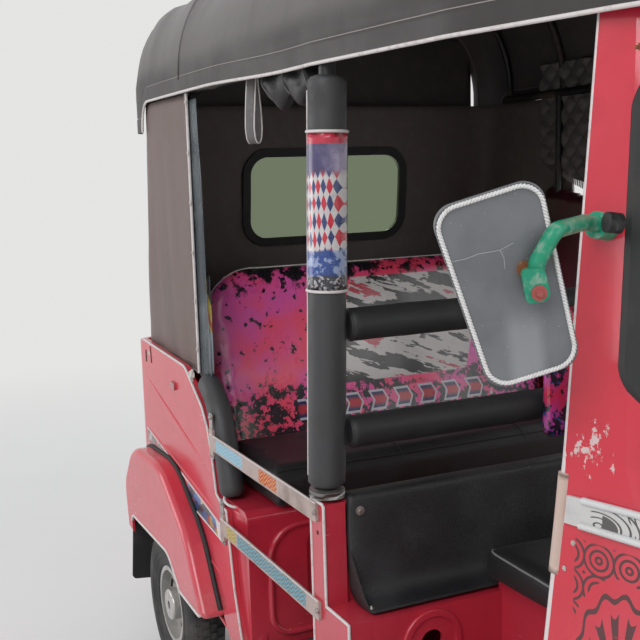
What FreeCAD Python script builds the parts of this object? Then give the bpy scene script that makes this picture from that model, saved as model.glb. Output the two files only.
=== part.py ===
import FreeCAD, Part
import math
import os
import re

# Three-wheeled passenger auto rickshaw, in millimetres.
# +X is forward, +Y is the left side and +Z is up. The origin is on the ground,
# under the middle of the overall length. Lengths called setback are measured
# rearward from the front axle.

V = FreeCAD.Vector
doc = FreeCAD.newDocument("auto_rickshaw")

# Driving sizes: name, value
SIZES = (
    ("wheelbase", 2000),
    ("front_overhang", 240),
    ("rear_overhang", 395),
    ("rear_track", 1150),
    ("tyre_radius", 205),
    ("tyre_width", 100),
    ("bead_radius", 104),
    ("rim_width", 82),
    ("rim_gap", 0.3),
    ("hub_radius", 42),
    ("hub_length", 96),
    ("axle_radius", 11),
    ("axle_gap", 0.5),
    ("body_half_width", 590),
    ("panel_wall", 16),
    ("fender_half_width", 645),
    ("fender_wall", 7),
    ("fender_edge_radius", 16),
    ("seat_gap", 0.3),
    ("sill_bottom", 262),
    ("floor_top", 274),
    ("floor_wall", 8),
    ("floor_inset", 30),
    ("head_beam_width", 60),
    ("rail_height", 58),
    ("rail_width", 40),
    ("rail_spread", 250),
    ("rail_front_setback", 330),
    ("rail_rear_setback", 2288),
    ("cross_width", 40),
    ("cowl_wall", 20),
    ("door_front_setback", 475),
    ("arch_radius", 286),
    ("arch_setback", 30),
    ("arch_top", 492),
    ("arch_corner", 90),
    ("well_wall", 7),
    ("cowl_top", 1545),
    ("windscreen_bottom", 986),
    ("windscreen_top", 1510),
    ("windscreen_half_bottom", 483),
    ("windscreen_half_top", 439),
    ("windscreen_corner", 105),
    ("seal_width", 28),
    ("seal_proud", 4),
    ("glass_wall", 5),
    ("glass_inset", 7),
    ("trim_bottom", 887),
    ("trim_height", 36),
    ("trim_proud", 6),
    ("trim_rear_setback", 462),
    ("headlamp_height", 722),
    ("headlamp_radius", 78),
    ("indicator_height", 805),
    ("indicator_spread", 262),
    ("indicator_radius", 34),
    ("partition_setback", 1085),
    ("partition_wall", 18),
    ("partition_top", 750),
    ("post_width", 56),
    ("post_depth", 44),
    ("ledge_top", 555),
    ("ledge_setback", 965),
    ("pad_wall", 11),
    ("pedestal_half_width", 265),
    ("pedestal_front_setback", 590),
    ("pedestal_top", 592),
    ("box_wall", 10),
    ("hatch_radius", 60),
    ("hatch_hole_radius", 24),
    ("hatch_spread", 420),
    ("hatch_height", 487),
    ("driver_cushion_half_width", 330),
    ("driver_cushion_height", 66),
    ("driver_cushion_front_setback", 575),
    ("driver_cushion_rear_setback", 970),
    ("driver_back_half_width", 130),
    ("driver_back_wall", 34),
    ("driver_back_corner", 30),
    ("driver_back_drop", 73),
    ("driver_back_reach", 15),
    ("pillar_radius", 15),
    ("pillar_base_spread", 568),
    ("pillar_top_spread", 548),
    ("pillar_setback", 1087),
    ("pillar_pad_radius", 36),
    ("pillar_pad_gap", 24),
    ("rail_tube_radius", 11),
    ("roof_edge", 1535),
    ("roof_edge_drop", 67),
    ("roof_shoulder_rise", 55),
    ("roof_rise", 323),
    ("roof_half_width", 582),
    ("roof_front_setback", 328),
    ("roof_rear_setback", 2272),
    ("hood_wall", 8),
    ("bow_side_gap", 4),
    ("curtain_wall", 7),
    ("curtain_half_width", 573.5),
    ("curtain_bottom", 868),
    ("curtain_front_setback", 1796),
    ("curtain_corner", 60),
    ("rear_window_half_width", 272),
    ("rear_window_bottom", 1139),
    ("rear_window_height", 283),
    ("rear_window_corner", 76),
    ("bar_radius", 32),
    ("upper_bar_rise", 323),
    ("lower_bar_rise", 123),
    ("guard_height", 36),
    ("guard_wall", 6),
    ("guard_upper_top", 748),
    ("guard_lower_top", 557),
    ("guard_rear_setback", 1622),
    ("panel_top", 892),
    ("panel_rear_setback", 2238),
    ("rear_face_setback", 2318),
    ("rear_corner", 60),
    ("rear_bottom", 420),
    ("engine_door_half_width", 350),
    ("engine_door_bottom", 452),
    ("engine_door_top", 800),
    ("door_gap", 6),
    ("bench_front_setback", 1500),
    ("bench_top", 600),
    ("bench_wall", 15),
    ("bench_inner_half_width", 440),
    ("bench_recess", 8),
    ("arm_spread", 493),
    ("arm_half_width", 20),
    ("cushion_height", 98),
    ("cushion_front_setback", 1462),
    ("cushion_rear_setback", 1820),
    ("cushion_half_width", 524),
    ("backrest_top", 1130),
    ("backrest_wall", 85),
    ("backrest_lean", 17),
    ("backrest_corner", 150),
    ("jamb_pad_radius", 28),
    ("jamb_foot_setback", 1656),
    ("jamb_foot", 598),
    ("jamb_top_setback", 1690),
    ("jamb_top", 740),
    ("bumper_half_width", 480),
    ("bumper_height", 70),
    ("bumper_bottom", 285),
    ("bumper_wall", 26),
    ("plate_spread", 200),
    ("plate_hole_radius", 4.5),
    ("engine_length", 430),
    ("engine_half_width", 225),
    ("engine_height", 290),
    ("engine_front_setback", 1660),
    ("muffler_radius", 58),
    ("muffler_length", 300),
    ("muffler_height", 350),
    ("muffler_setback", 2190),
    ("rake", 20),
    ("trail", 52),
    ("column_radius", 21),
    ("column_length", 700),
    ("head_height", 48),
    ("dash_clearance", 54),
    ("head_tube_wall", 8),
    ("leg_radius", 17),
    ("leg_spread", 92),
    ("mudguard_half_width", 70),
    ("mudguard_wall", 5),
    ("bar_half_length", 250),
    ("handlebar_radius", 12),
    ("mirror_top_width", 135),
    ("mirror_bottom_width", 114),
    ("mirror_height", 232),
    ("mirror_wall", 12),
    ("mirror_arm_radius", 10),
    ("strap_width", 22),
    ("strap_setback", 1432),
    ("strap_length", 134),
    ("strap_loop_half_width", 19),
    ("strap_wall", 3),
    ("curtain_roll_radius", 30),
    ("roll_start_setback", 1180),
    ("roll_end_setback", 1400),
)

sheet = doc.addObject("Spreadsheet::Sheet", "sizes")
for row, (name, value) in enumerate(SIZES, 1):
    sheet.set(f"A{row}", name)
    sheet.set(f"B{row}", str(value))
    sheet.setAlias(f"B{row}", name)
doc.recompute()

ALIASES = {name for name, value in SIZES}


class Sizes:
    """The driving sizes, read back from the sheet."""

    def __getattr__(self, name):
        return float(sheet.get(name))


S = Sizes()

# Half the overall length, and the front axle's place along X
HALF_LENGTH = "((front_overhang + wheelbase + rear_overhang) / 2)"
FRONT_AXLE = f"({HALF_LENGTH} - front_overhang)"
front_axle_x = (S.front_overhang + S.wheelbase + S.rear_overhang) / 2 - S.front_overhang
rear_axle_x = front_axle_x - S.wheelbase


def at(setback):
    """X of a place that lies the setback behind the front axle."""
    return front_axle_x - setback


def linked(text):
    """An expression with each driving size pointed at its cell."""
    return re.sub(r"[a-z_]+", lambda m: "sizes." + m.group() if m.group() in ALIASES else m.group(), text)


def bind(item, **links):
    """Ties properties of an object to sizes; place_x, place_y and place_z are its Placement."""
    for prop, text in links.items():
        path = {"place_x": ".Placement.Base.x", "place_y": ".Placement.Base.y",
                "place_z": ".Placement.Base.z"}.get(prop, prop)
        item.setExpression(path, linked(text))
    return item


def loop(points):
    """Lines and corner arcs of a closed outline; points are (across, up, corner radius)."""
    corners = []
    for i, (x, y, radius) in enumerate(points):
        here = V(x, y, 0)
        before = (V(*points[i - 1][:2], 0) - here).normalize()
        after = (V(*points[(i + 1) % len(points)][:2], 0) - here).normalize()
        if not radius:
            corners.append((here, None, here))
            continue
        half = before.getAngle(after) / 2
        reach = radius / math.tan(half)
        middle = here + (before + after).normalize() * (radius / math.sin(half) - radius)
        corners.append((here + before * reach, middle, here + after * reach))
    edges = []
    for i, (start, middle, end) in enumerate(corners):
        if middle is not None:
            edges.append(Part.Arc(start, middle, end))
        following = corners[(i + 1) % len(corners)][0]
        if end.distanceToPoint(following) > 1e-6:
            edges.append(Part.LineSegment(end, following))
    return edges


def circle(x, y, radius):
    return [Part.Circle(V(x, y, 0), V(0, 0, 1), radius)]


def sketch(body, plane, loops, name="outline"):
    """A sketch on one of the body's own origin planes."""
    item = body.newObject("Sketcher::SketchObject", name)
    support = [f for f in body.Origin.OriginFeatures if f.Role == plane + "_Plane"][0]
    item.AttachmentSupport = (support, [""])
    item.MapMode = "FlatFace"
    for edges in loops:
        item.addGeometry(edges, False)
    return item


def pad(name, plane, loops, depth, midplane=False, **place):
    """A body padded from closed outlines. XZ pads towards -Y, YZ towards +X, XY towards +Z."""
    body = doc.addObject("PartDesign::Body", name)
    feature = body.newObject("PartDesign::Pad", "pad")
    feature.Profile = sketch(body, plane, loops)
    feature.Midplane = midplane
    bind(feature, Length=depth)
    bind(body, **place)
    return body


def pocket(body, plane, loops, depth, reverse=False):
    """Cuts closed outlines into the body from an origin plane."""
    feature = body.newObject("PartDesign::Pocket", "pocket")
    feature.Profile = sketch(body, plane, loops, "cut_outline")
    feature.Reversed = reverse
    bind(feature, Length=depth)
    return feature


def revolve(name, plane_loops):
    """A body turned about its own Y axis from an outline in XY."""
    body = doc.addObject("PartDesign::Body", name)
    feature = body.newObject("PartDesign::Revolution", "turned")
    feature.Profile = sketch(body, "XY", plane_loops)
    axis = [f for f in body.Origin.OriginFeatures if f.Role == "Y_Axis"][0]
    feature.ReferenceAxis = (axis, [""])
    feature.Angle = 360
    return body


def box(name, **links):
    return bind(doc.addObject("Part::Box", name), **links)


def cylinder(name, direction, **links):
    item = doc.addObject("Part::Cylinder", name)
    item.Placement.Rotation = FreeCAD.Rotation(V(0, 0, 1), direction)
    return bind(item, **links)


def cut(name, base, tool):
    item = doc.addObject("Part::Cut", name)
    item.Base = base
    item.Tool = tool
    return item


def fuse(name, parts):
    item = doc.addObject("Part::MultiFuse", name)
    item.Shapes = parts
    return item


def common(name, parts):
    item = doc.addObject("Part::MultiCommon", name)
    item.Shapes = parts
    return item


def shaped(name, shape):
    """An object whose form is worked out with shape functions from the sheet's sizes."""
    item = doc.addObject("Part::Feature", name)
    item.Shape = shape
    return item


def mirrored(item):
    """The same piece on the left side."""
    other = doc.addObject("Part::Mirroring", item.Name + "_left")
    other.Source = item
    other.Normal = V(0, 1, 0)
    return other


def together(name, parts):
    item = doc.addObject("Part::Compound", name)
    item.Links = parts
    return item


def pair(name, item):
    return together(name, [item, mirrored(item)])


NODES = []


def node(name, item):
    """Marks an object as the finished piece that is written out under this name."""
    item.Label = name
    NODES.append((name, item))
    return item


def solid_prism(plane, points, start, end):
    """Part shape: an outline in XZ, YZ or XY pushed from start to end along the third axis."""
    turn = {"XZ": lambda x, y: V(x, start, y), "YZ": lambda x, y: V(start, x, y),
            "XY": lambda x, y: V(x, y, start)}[plane]
    push = {"XZ": V(0, end - start, 0), "YZ": V(end - start, 0, 0), "XY": V(0, 0, end - start)}[plane]
    edges = []
    for item in loop(points):
        first = item.StartPoint if isinstance(item, Part.LineSegment) else None
        if first is not None:
            edges.append(Part.LineSegment(turn(first.x, first.y), turn(item.EndPoint.x, item.EndPoint.y)).toShape())
            continue
        edge = item.toShape()
        a, b = edge.ParameterRange
        spots = [edge.valueAt(p) for p in (a, (a + b) / 2, b)]
        edges.append(Part.Arc(*[turn(p.x, p.y) for p in spots]).toShape())
    return Part.Face(Part.Wire(Part.__sortEdges__(edges))).extrude(push)


def rod(start, end, radius):
    """Part shape: a round bar between two points."""
    return Part.makeCylinder(radius, start.distanceToPoint(end), start, end - start)


def bent_tube(points, radius, bend):
    """Part shape: a round bar along straight runs joined by tangent arcs."""
    path = []
    last = points[0]
    for i in range(1, len(points) - 1):
        here = points[i]
        before = (points[i - 1] - here).normalize()
        after = (points[i + 1] - here).normalize()
        half = before.getAngle(after) / 2
        reach = bend / math.tan(half)
        middle = here + (before + after).normalize() * (bend / math.sin(half) - bend)
        path.append(Part.LineSegment(last, here + before * reach).toShape())
        path.append(Part.Arc(here + before * reach, middle, here + after * reach).toShape())
        last = here + after * reach
    path.append(Part.LineSegment(last, points[-1]).toShape())
    wire = Part.Wire(path)
    ring = Part.Wire(Part.Circle(points[0], points[1] - points[0], radius).toShape())
    return wire.makePipeShell([ring], True, False)


# Front cowl sections: height, rear half width, side setback, side half width,
# corner setback, corner half width, nose setback
COWL = (
    (S.sill_bottom, 588, 400, 548, 330, 400, 322),
    (480, 562, 330, 530, 70, 295, -62),
    (700, 541, 330, 510, 40, 275, -88),
    (880, 518, 345, 490, 112, 292, 22),
    (972, 508, 395, 478, 250, 352, 166),
    (S.cowl_top, 456, 432, 436, 385, 320, 352),
)


def cowl_block(inset, rear_reach=0):
    """Part shape: the cowl's outer form, drawn in by the inset and open to the rear."""
    wires = []
    for height, rear_w, side_s, side_w, corner_s, corner_w, nose_s in COWL:
        rear = (at(S.door_front_setback), rear_w - inset)
        side = (at(side_s) - inset * 0.6, side_w - inset * 0.8)
        slope = (rear[1] - side[1]) / (side[0] - rear[0])
        rear = (rear[0] - rear_reach, rear[1] + slope * rear_reach)
        corner = (at(corner_s) - inset, corner_w - inset * 0.6)
        nose = at(nose_s) - inset
        chord = V(corner[0] - side[0], corner[1] - side[1], 0)
        out = V(-chord.y, chord.x, 0).normalize() * (chord.Length * 0.14)
        bulge = (side[0] + chord.x / 2 + abs(out.x), side[1] + chord.y / 2 + abs(out.y))
        right = [V(x, -y, height) for x, y in (rear, side, bulge, corner)]
        left = [V(x, y, height) for x, y in (rear, side, bulge, corner)]
        wires.append(Part.Wire([
            Part.LineSegment(left[0], right[0]).toShape(),
            Part.LineSegment(right[0], right[1]).toShape(),
            Part.Arc(right[1], right[2], right[3]).toShape(),
            Part.Arc(right[3], V(nose, 0, height), left[3]).toShape(),
            Part.Arc(left[3], left[2], left[1]).toShape(),
            Part.LineSegment(left[1], left[0]).toShape()]))
    return Part.makeLoft(wires, True, True)


def windscreen_prism(inset):
    """Part shape: the windscreen's outline drawn in by the inset, pushed forward."""
    low, high = S.windscreen_bottom + inset, S.windscreen_top - inset
    wide, narrow = S.windscreen_half_bottom - inset, S.windscreen_half_top - inset
    radius = S.windscreen_corner - inset
    outline = [(-wide, low, radius), (wide, low, radius), (narrow, high, radius), (-narrow, high, radius)]
    return solid_prism("YZ", outline, at(S.door_front_setback - 20), at(-200))


def arch_prism(inset, bottom, start, end):
    """Part shape: the front wheel arch's outline, drawn in by the inset."""
    half = S.arch_radius - inset
    top = S.arch_top - inset
    corner = S.arch_corner - inset
    outline = [(-half, bottom, 0), (half, bottom, 0), (half, top, corner), (-half, top, corner)]
    return solid_prism("YZ", outline, start, end)


def front_cowl():
    outer = cowl_block(0)
    inner = cowl_block(S.cowl_wall, 60)
    lid = Part.makeBox(900, 2000, 60, V(at(S.door_front_setback) - 100, -1000, S.cowl_top - 24))
    shell = outer.cut(inner.cut(lid))
    arch = arch_prism(0, 100, at(S.door_front_setback - 20), at(-300))
    lamp = rod(V(at(200), 0, S.headlamp_height), V(at(-300), 0, S.headlamp_height),
               S.headlamp_radius + S.seat_gap)
    shell = shell.cut(windscreen_prism(0)).cut(arch).cut(lamp)
    node("front_cowl", shaped("front_cowl", shell))


def windscreen():
    skin = cowl_block(-S.seal_proud).cut(cowl_block(S.cowl_wall, 60))
    ring = windscreen_prism(S.seat_gap).cut(windscreen_prism(S.seal_width))
    glass_skin = cowl_block(S.glass_inset).cut(cowl_block(S.glass_inset + S.glass_wall, 60))
    return skin.common(ring), glass_skin.common(windscreen_prism(S.seal_width + S.seat_gap))


def curtain_sections():
    """Rear curtain: height and setback of its rear face."""
    return ((S.curtain_bottom, 2297), (1290, 2242), (1548, 2216))


def curtain_block(inset):
    """Part shape: the rear curtain's outer form, drawn in by the inset and open to the front."""
    wires = []
    front = at(S.curtain_front_setback) + (20 if inset else 0)
    half = S.curtain_half_width - inset
    radius = S.curtain_corner - inset
    for height, rear_setback in curtain_sections():
        rear = at(rear_setback) + inset
        slope = radius * (1 - math.sqrt(0.5))
        right = [V(front, -half, height), V(rear + radius, -half, height),
                 V(rear + slope, -half + slope, height), V(rear, -half + radius, height)]
        left = [V(p.x, -p.y, height) for p in right]
        wires.append(Part.Wire([
            Part.LineSegment(left[0], right[0]).toShape(),
            Part.LineSegment(right[0], right[1]).toShape(),
            Part.Arc(right[1], right[2], right[3]).toShape(),
            Part.LineSegment(right[3], left[3]).toShape(),
            Part.Arc(left[3], left[2], left[1]).toShape(),
            Part.LineSegment(left[1], left[0]).toShape()]))
    return Part.makeLoft(wires, True, True)


def window_prism(inset):
    """Part shape: the rear window's outline pushed through the curtain."""
    half = S.rear_window_half_width - inset
    low = S.rear_window_bottom + inset
    high = S.rear_window_bottom + S.rear_window_height - inset
    radius = S.rear_window_corner - inset
    outline = [(-half, low, radius), (half, low, radius), (half, high, radius), (-half, high, radius)]
    return solid_prism("YZ", outline, at(S.rear_face_setback + 80), at(S.wheelbase))


def hood_curtain():
    wall = curtain_block(0).cut(curtain_block(S.curtain_wall))
    node("hood_curtain", shaped("hood_curtain", wall.cut(window_prism(0))))


def windows():
    screen_seal, screen = windscreen()
    band = curtain_block(-4).cut(curtain_block(S.curtain_wall + 4))
    frame_width = 24
    lip = band.common(window_prism(S.seat_gap).cut(window_prism(frame_width)))
    pane_band = curtain_block(1).cut(curtain_block(1 + S.glass_wall))
    pane = pane_band.common(window_prism(frame_width + S.seat_gap))
    node("window_seals", shaped("window_seals", Part.makeCompound([screen_seal, lip])))
    node("window_glass", shaped("window_glass", Part.makeCompound([screen, pane])))


# Hood roof sections, front to rear: share of the length, of the half width and of the rise
ROOF = (
    (0.0, 0.750, 0.22),
    (0.05, 0.800, 0.50),
    (0.20, 0.915, 0.82),
    (0.39, 0.987, 0.95),
    (0.75, 1.0, 1.0),
    (0.946, 1.0, 0.985),
    (0.975, 0.996, 0.96),
    (0.992, 0.974, 0.91),
    (1.0, 0.945, 0.86),
)

# The roof's side leans in over the first arc, and the shoulder arc then turns into the top
SIDE_SWEEP = math.radians(33)
SIDE_RADIUS_SHARE = 1.19
SHOULDER_RADIUS_SHARE = 0.317


def roof_section(x, half, foot, shoulder, crown):
    """Edges across the roof at x, from the left foot over the top to the right foot."""
    rise = crown - shoulder
    side = rise * SIDE_RADIUS_SHARE
    corner = rise * SHOULDER_RADIUS_SHARE

    def side_point(angle):
        return half - side * (1 - math.cos(angle)), shoulder + side * math.sin(angle)

    def corner_point(angle):
        y, z = side_point(SIDE_SWEEP)
        return (y - corner * (math.cos(SIDE_SWEEP) - math.cos(angle)),
                z + corner * (math.sin(angle) - math.sin(SIDE_SWEEP)))

    # The shoulder arc ends where its slope meets the top arc's
    last = math.pi / 2
    for step in range(40):
        y, z = corner_point(last)
        last = math.pi / 2 - 2 * math.atan((crown - z) / y)
    points = [(half, foot), (half, shoulder), side_point(SIDE_SWEEP / 2), side_point(SIDE_SWEEP),
              corner_point((SIDE_SWEEP + last) / 2), corner_point(last)]
    right = [V(x, -y, z) for y, z in points]
    left = [V(x, y, z) for y, z in points]
    return [Part.LineSegment(left[0], left[1]), Part.Arc(left[1], left[2], left[3]),
            Part.Arc(left[3], left[4], left[5]), Part.Arc(left[5], V(x, 0, crown), right[5]),
            Part.Arc(right[5], right[4], right[3]), Part.Arc(right[3], right[2], right[1]),
            Part.LineSegment(right[1], right[0])]


def roof_sizes(share):
    """Half width, shoulder height and crown height of the roof's outside at a share of its length."""
    for (s0, w0, r0), (s1, w1, r1) in zip(ROOF, ROOF[1:]):
        if s0 <= share <= s1:
            part = (share - s0) / (s1 - s0)
            rise = r0 + (r1 - r0) * part
            return (S.roof_half_width * (w0 + (w1 - w0) * part), S.roof_edge + S.roof_shoulder_rise * rise,
                    S.roof_edge + S.roof_rise * rise)
    raise ValueError(f"no roof at {share}")


def roof_block(inset):
    """Part shape: the hood roof's outer form, drawn in by the inset."""
    wires = []
    foot = S.roof_edge - S.roof_edge_drop - 12 - (10 if inset else 0)
    for share, _, _ in ROOF:
        half, shoulder, crown = roof_sizes(share)
        x = at(S.roof_front_setback + (S.roof_rear_setback - S.roof_front_setback) * share)
        x -= inset if share == ROOF[0][0] else 0
        x += inset if share == ROOF[-1][0] else 0
        edges = roof_section(x, half - inset, foot, shoulder, crown - inset)
        edges.append(Part.LineSegment(edges[-1].EndPoint, edges[0].StartPoint))
        wires.append(Part.Wire([edge.toShape() for edge in edges]))
    return Part.makeLoft(wires, True, True)


def hood_roof():
    shell = roof_block(0).cut(roof_block(S.hood_wall))
    low = S.roof_edge - S.roof_edge_drop
    rear = S.roof_rear_setback
    below = [(at(100), low - 300, 0), (at(100), S.roof_edge, 0), (at(rear - 234), S.roof_edge, 60),
             (at(rear - 114), low, 60), (at(rear + 100), low, 0), (at(rear + 100), low - 300, 0)]
    shell = shell.cut(solid_prism("XZ", below, -900, 900))
    node("hood_roof", shaped("hood_roof", shell))


def pillar_line(side):
    """Foot and head of a door pillar's centre line."""
    head = S.cowl_top + S.rail_tube_radius + S.seat_gap
    return (V(at(S.pillar_setback), side * S.pillar_base_spread, S.partition_top + 0.8),
            V(at(S.pillar_setback - 12), side * S.pillar_top_spread, head))


def roof_frame():
    tube = S.rail_tube_radius
    z = S.cowl_top + tube + S.seat_gap
    pieces = []
    for side in (-1, 1):
        rail = [V(at(400), side * 425, z), V(at(1075), side * S.pillar_top_spread, z + 2),
                V(at(2090), side * S.pillar_top_spread, z - 4)]
        pieces.append(bent_tube(rail, tube, 300))
        pieces.append(rod(*pillar_line(side), S.pillar_radius))
        pieces.append(rod(V(at(1830), side * 540, S.bench_top + S.seat_gap),
                          V(at(1830), side * S.pillar_top_spread, z - 3), tube - 1))
    bow = tube - 2
    under = S.hood_wall + bow + 2 * S.seat_gap
    for setback in (900, 1400, 1830, 2085):
        share = (setback - S.roof_front_setback) / (S.roof_rear_setback - S.roof_front_setback)
        half, shoulder, crown = roof_sizes(share)
        half -= under + (14 if setback < 1000 else S.bow_side_gap)
        edges = roof_section(at(setback), half, z - 4, shoulder, crown - under)
        first = edges[0]
        ring = Part.Wire(Part.Circle(first.StartPoint, first.EndPoint - first.StartPoint, bow).toShape())
        pieces.append(Part.Wire([edge.toShape() for edge in edges]).makePipeShell([ring], True, False))
    frame = pieces[0]
    for piece in pieces[1:]:
        frame = frame.fuse(piece)
    node("roof_frame", shaped("roof_frame", frame))


def pillar_pads():
    pads = []
    low, high = pillar_line(-1)
    way = (high - low).normalize()
    start = low + way * S.pillar_pad_gap
    end = high - way * 38
    sleeve = rod(start, end, S.pillar_pad_radius).cut(rod(low, high, S.pillar_radius + S.seat_gap))
    pads.append(sleeve)
    edge_foot = V(at(S.jamb_foot_setback), -(S.body_half_width - S.jamb_pad_radius), S.jamb_foot)
    edge = V(at(S.jamb_top_setback), edge_foot.y, S.jamb_top) - edge_foot
    sunk = S.jamb_pad_radius - S.panel_wall
    ahead = V(edge.z, 0, -edge.x).normalize() * math.sqrt((S.jamb_pad_radius + S.seat_gap) ** 2 - sunk ** 2)
    pads.append(rod(edge_foot + ahead + edge * 0.1, edge_foot + ahead + edge * 1.68, S.jamb_pad_radius))
    other = [p.mirror(V(0, 0, 0), V(0, 1, 0)) for p in pads]
    node("pillar_pads", shaped("pillar_pads", Part.makeCompound(pads + other)))


def chassis_frame():
    rails = [box(f"rail_{side}", Length="rail_rear_setback - rail_front_setback", Width="rail_width",
                 Height="rail_height", place_x=f"{FRONT_AXLE} - rail_rear_setback",
                 place_y=f"{sign} * rail_spread - rail_width / 2",
                 place_z="floor_top - floor_wall - seat_gap - rail_height")
             for side, sign in (("right", -1), ("left", 1))]
    crosses = []
    # Cross members: name, setback expression, half width expression
    for name, setback, half in (("front", "rail_front_setback", "380"),
                                ("middle", "partition_setback", "body_half_width - 30"),
                                ("arms", "bench_front_setback + 60", "arm_spread + 10"),
                                ("rear", "rail_rear_setback - cross_width", "arm_spread - 13")):
        crosses.append(box("cross_" + name, Length="cross_width", Width=f"2 * ({half})",
                           Height="rail_height - 10", place_x=f"{FRONT_AXLE} - ({setback}) - cross_width",
                           place_y=f"-({half})", place_z="floor_top - floor_wall - seat_gap - rail_height"))
    back = S.arch_setback + S.arch_radius + S.well_wall + 0.5
    base = S.floor_top - S.floor_wall - S.seat_gap
    spine = [(at(back + 52), base - S.rail_height, 0), (at(back), base - S.rail_height, 0),
             (at(back), S.arch_top + 12, 0), (at(130), S.arch_top + 12, 0), (at(130), S.arch_top + 52, 0),
             (at(back + 52), S.arch_top + 62, 30)]
    beam = pad("head_beam", "XZ", [loop(spine)], "head_beam_width", midplane=True)
    frame = fuse("ladder", rails + crosses + [beam])
    foot = steering_point(S.arch_top - 60)
    top = steering_point(S.arch_top + 150)
    head = rod(steering_point(S.arch_top + 11), top, S.column_radius + S.axle_gap + S.head_tube_wall)
    bore = rod(foot, top + (top - foot), S.column_radius + S.axle_gap)
    frame = cut("bored_frame", fuse("head_frame", [frame, shaped("head_tube", head)]), shaped("head_bore", bore))
    node("chassis_frame", frame)


def steering_point(height):
    """A point on the steering axis at a height above the ground."""
    return V(front_axle_x + S.trail - height * math.tan(math.radians(S.rake)), 0, height)


def floor_pan():
    half = S.body_half_width - S.floor_inset
    low = S.floor_top - S.floor_wall
    centre = V(at(S.arch_setback), 0, low)
    rear = at(S.bench_front_setback - 1)
    door = at(S.door_front_setback + 1)
    well_outer = S.arch_radius + S.well_wall
    height = S.arch_top - low
    plate = Part.makeBox(centre.x - rear, 2 * half, S.floor_wall, V(rear, -half, low))
    outer = Part.makeCylinder(well_outer, height + S.well_wall, centre)
    outer = outer.fuse(Part.makeBox(well_outer, 2 * well_outer, height + S.well_wall, centre - V(0, well_outer, 0)))
    inner = Part.makeCylinder(S.arch_radius, height, centre)
    inner = inner.fuse(Part.makeBox(2 * well_outer, 2 * S.arch_radius, height, centre - V(0, S.arch_radius, 0)))
    full = plate.fuse(outer).cut(inner)
    mouth = arch_prism(S.seat_gap, low, door, centre.x)
    front = full.common(cowl_block(S.cowl_wall + 1, 60)).fuse(full.common(mouth))
    ahead = Part.makeBox(2 * well_outer + S.door_front_setback, 2 * S.body_half_width, S.cowl_top,
                         V(door, -S.body_half_width, 0))
    pan = full.cut(ahead).fuse(front.common(ahead))
    hole = rod(steering_point(S.arch_top - 60), steering_point(S.arch_top + 60), S.column_radius + 14)
    back = at(S.arch_setback + well_outer)
    beam = Part.makeBox(55, S.head_beam_width + 2, S.arch_top, V(back - 55.2, -S.head_beam_width / 2 - 1, 0))
    node("floor_pan", shaped("floor_pan", pan.cut(hole).cut(beam).removeSplitter()))


def dashboard():
    head_top = S.tyre_radius + (S.column_length + S.head_height) * math.cos(math.radians(S.rake))
    low = head_top + S.dash_clearance
    slab = Part.makeBox(300, 1000, 40, V(at(370), -500, low))
    shelf = slab.common(cowl_block(S.cowl_wall + 0.6, 60))
    dial = rod(V(at(330), 130, low + 58), V(at(300), 130, low + 58), 38)
    stalk = Part.makeBox(26, 60, 30, V(at(328), 100, low + 39))
    node("dashboard", shaped("dashboard", shelf.fuse([dial, stalk])))


def headlamp():
    face = V(at(-88), 0, S.headlamp_height)
    bucket = rod(face - V(70, 0, 0), face + V(6, 0, 0), S.headlamp_radius)
    rim = rod(face + V(6, 0, 0), face + V(16, 0, 0), S.headlamp_radius + 8)
    lens = Part.makeSphere(150, face + V(-108, 0, 0)).common(
        rod(face + V(16, 0, 0), face + V(60, 0, 0), S.headlamp_radius - 4))
    node("headlamp", shaped("headlamp", bucket.fuse([rim, lens])))


def signal_lamps():
    lamps = []
    skin = cowl_block(-S.seat_gap)
    front = rod(V(at(180), -S.indicator_spread, S.indicator_height),
                V(at(2), -S.indicator_spread, S.indicator_height), S.indicator_radius)
    lamps.append(front.cut(skin))
    outline = [(-530, 470, 14), (-440, 470, 14), (-440, 620, 14), (-530, 620, 14)]
    face = at(S.rear_face_setback)
    lamps.append(solid_prism("YZ", outline, face - 26, face - S.seat_gap))
    lamps += [p.mirror(V(0, 0, 0), V(0, 1, 0)) for p in lamps]
    node("signal_lamps", shaped("signal_lamps", Part.makeCompound(lamps)))


def trim_strip():
    slab = Part.makeBox(900, 1400, S.trim_height, V(at(S.trim_rear_setback), -700, S.trim_bottom))
    strip = cowl_block(-S.trim_proud).cut(cowl_block(-2 * S.seat_gap, 60)).common(slab)
    node("trim_strip", shaped("trim_strip", strip))


# Mirror arm centre line on the right side: setback, distance right of centre, height
MIRROR_ARM = ((440, 480, 1272), (426, 519, 1279), (376.5, 602.6, 1275.4), (389.7, 617.9, 1238.5),
              (394, 618, 1206))


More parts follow.
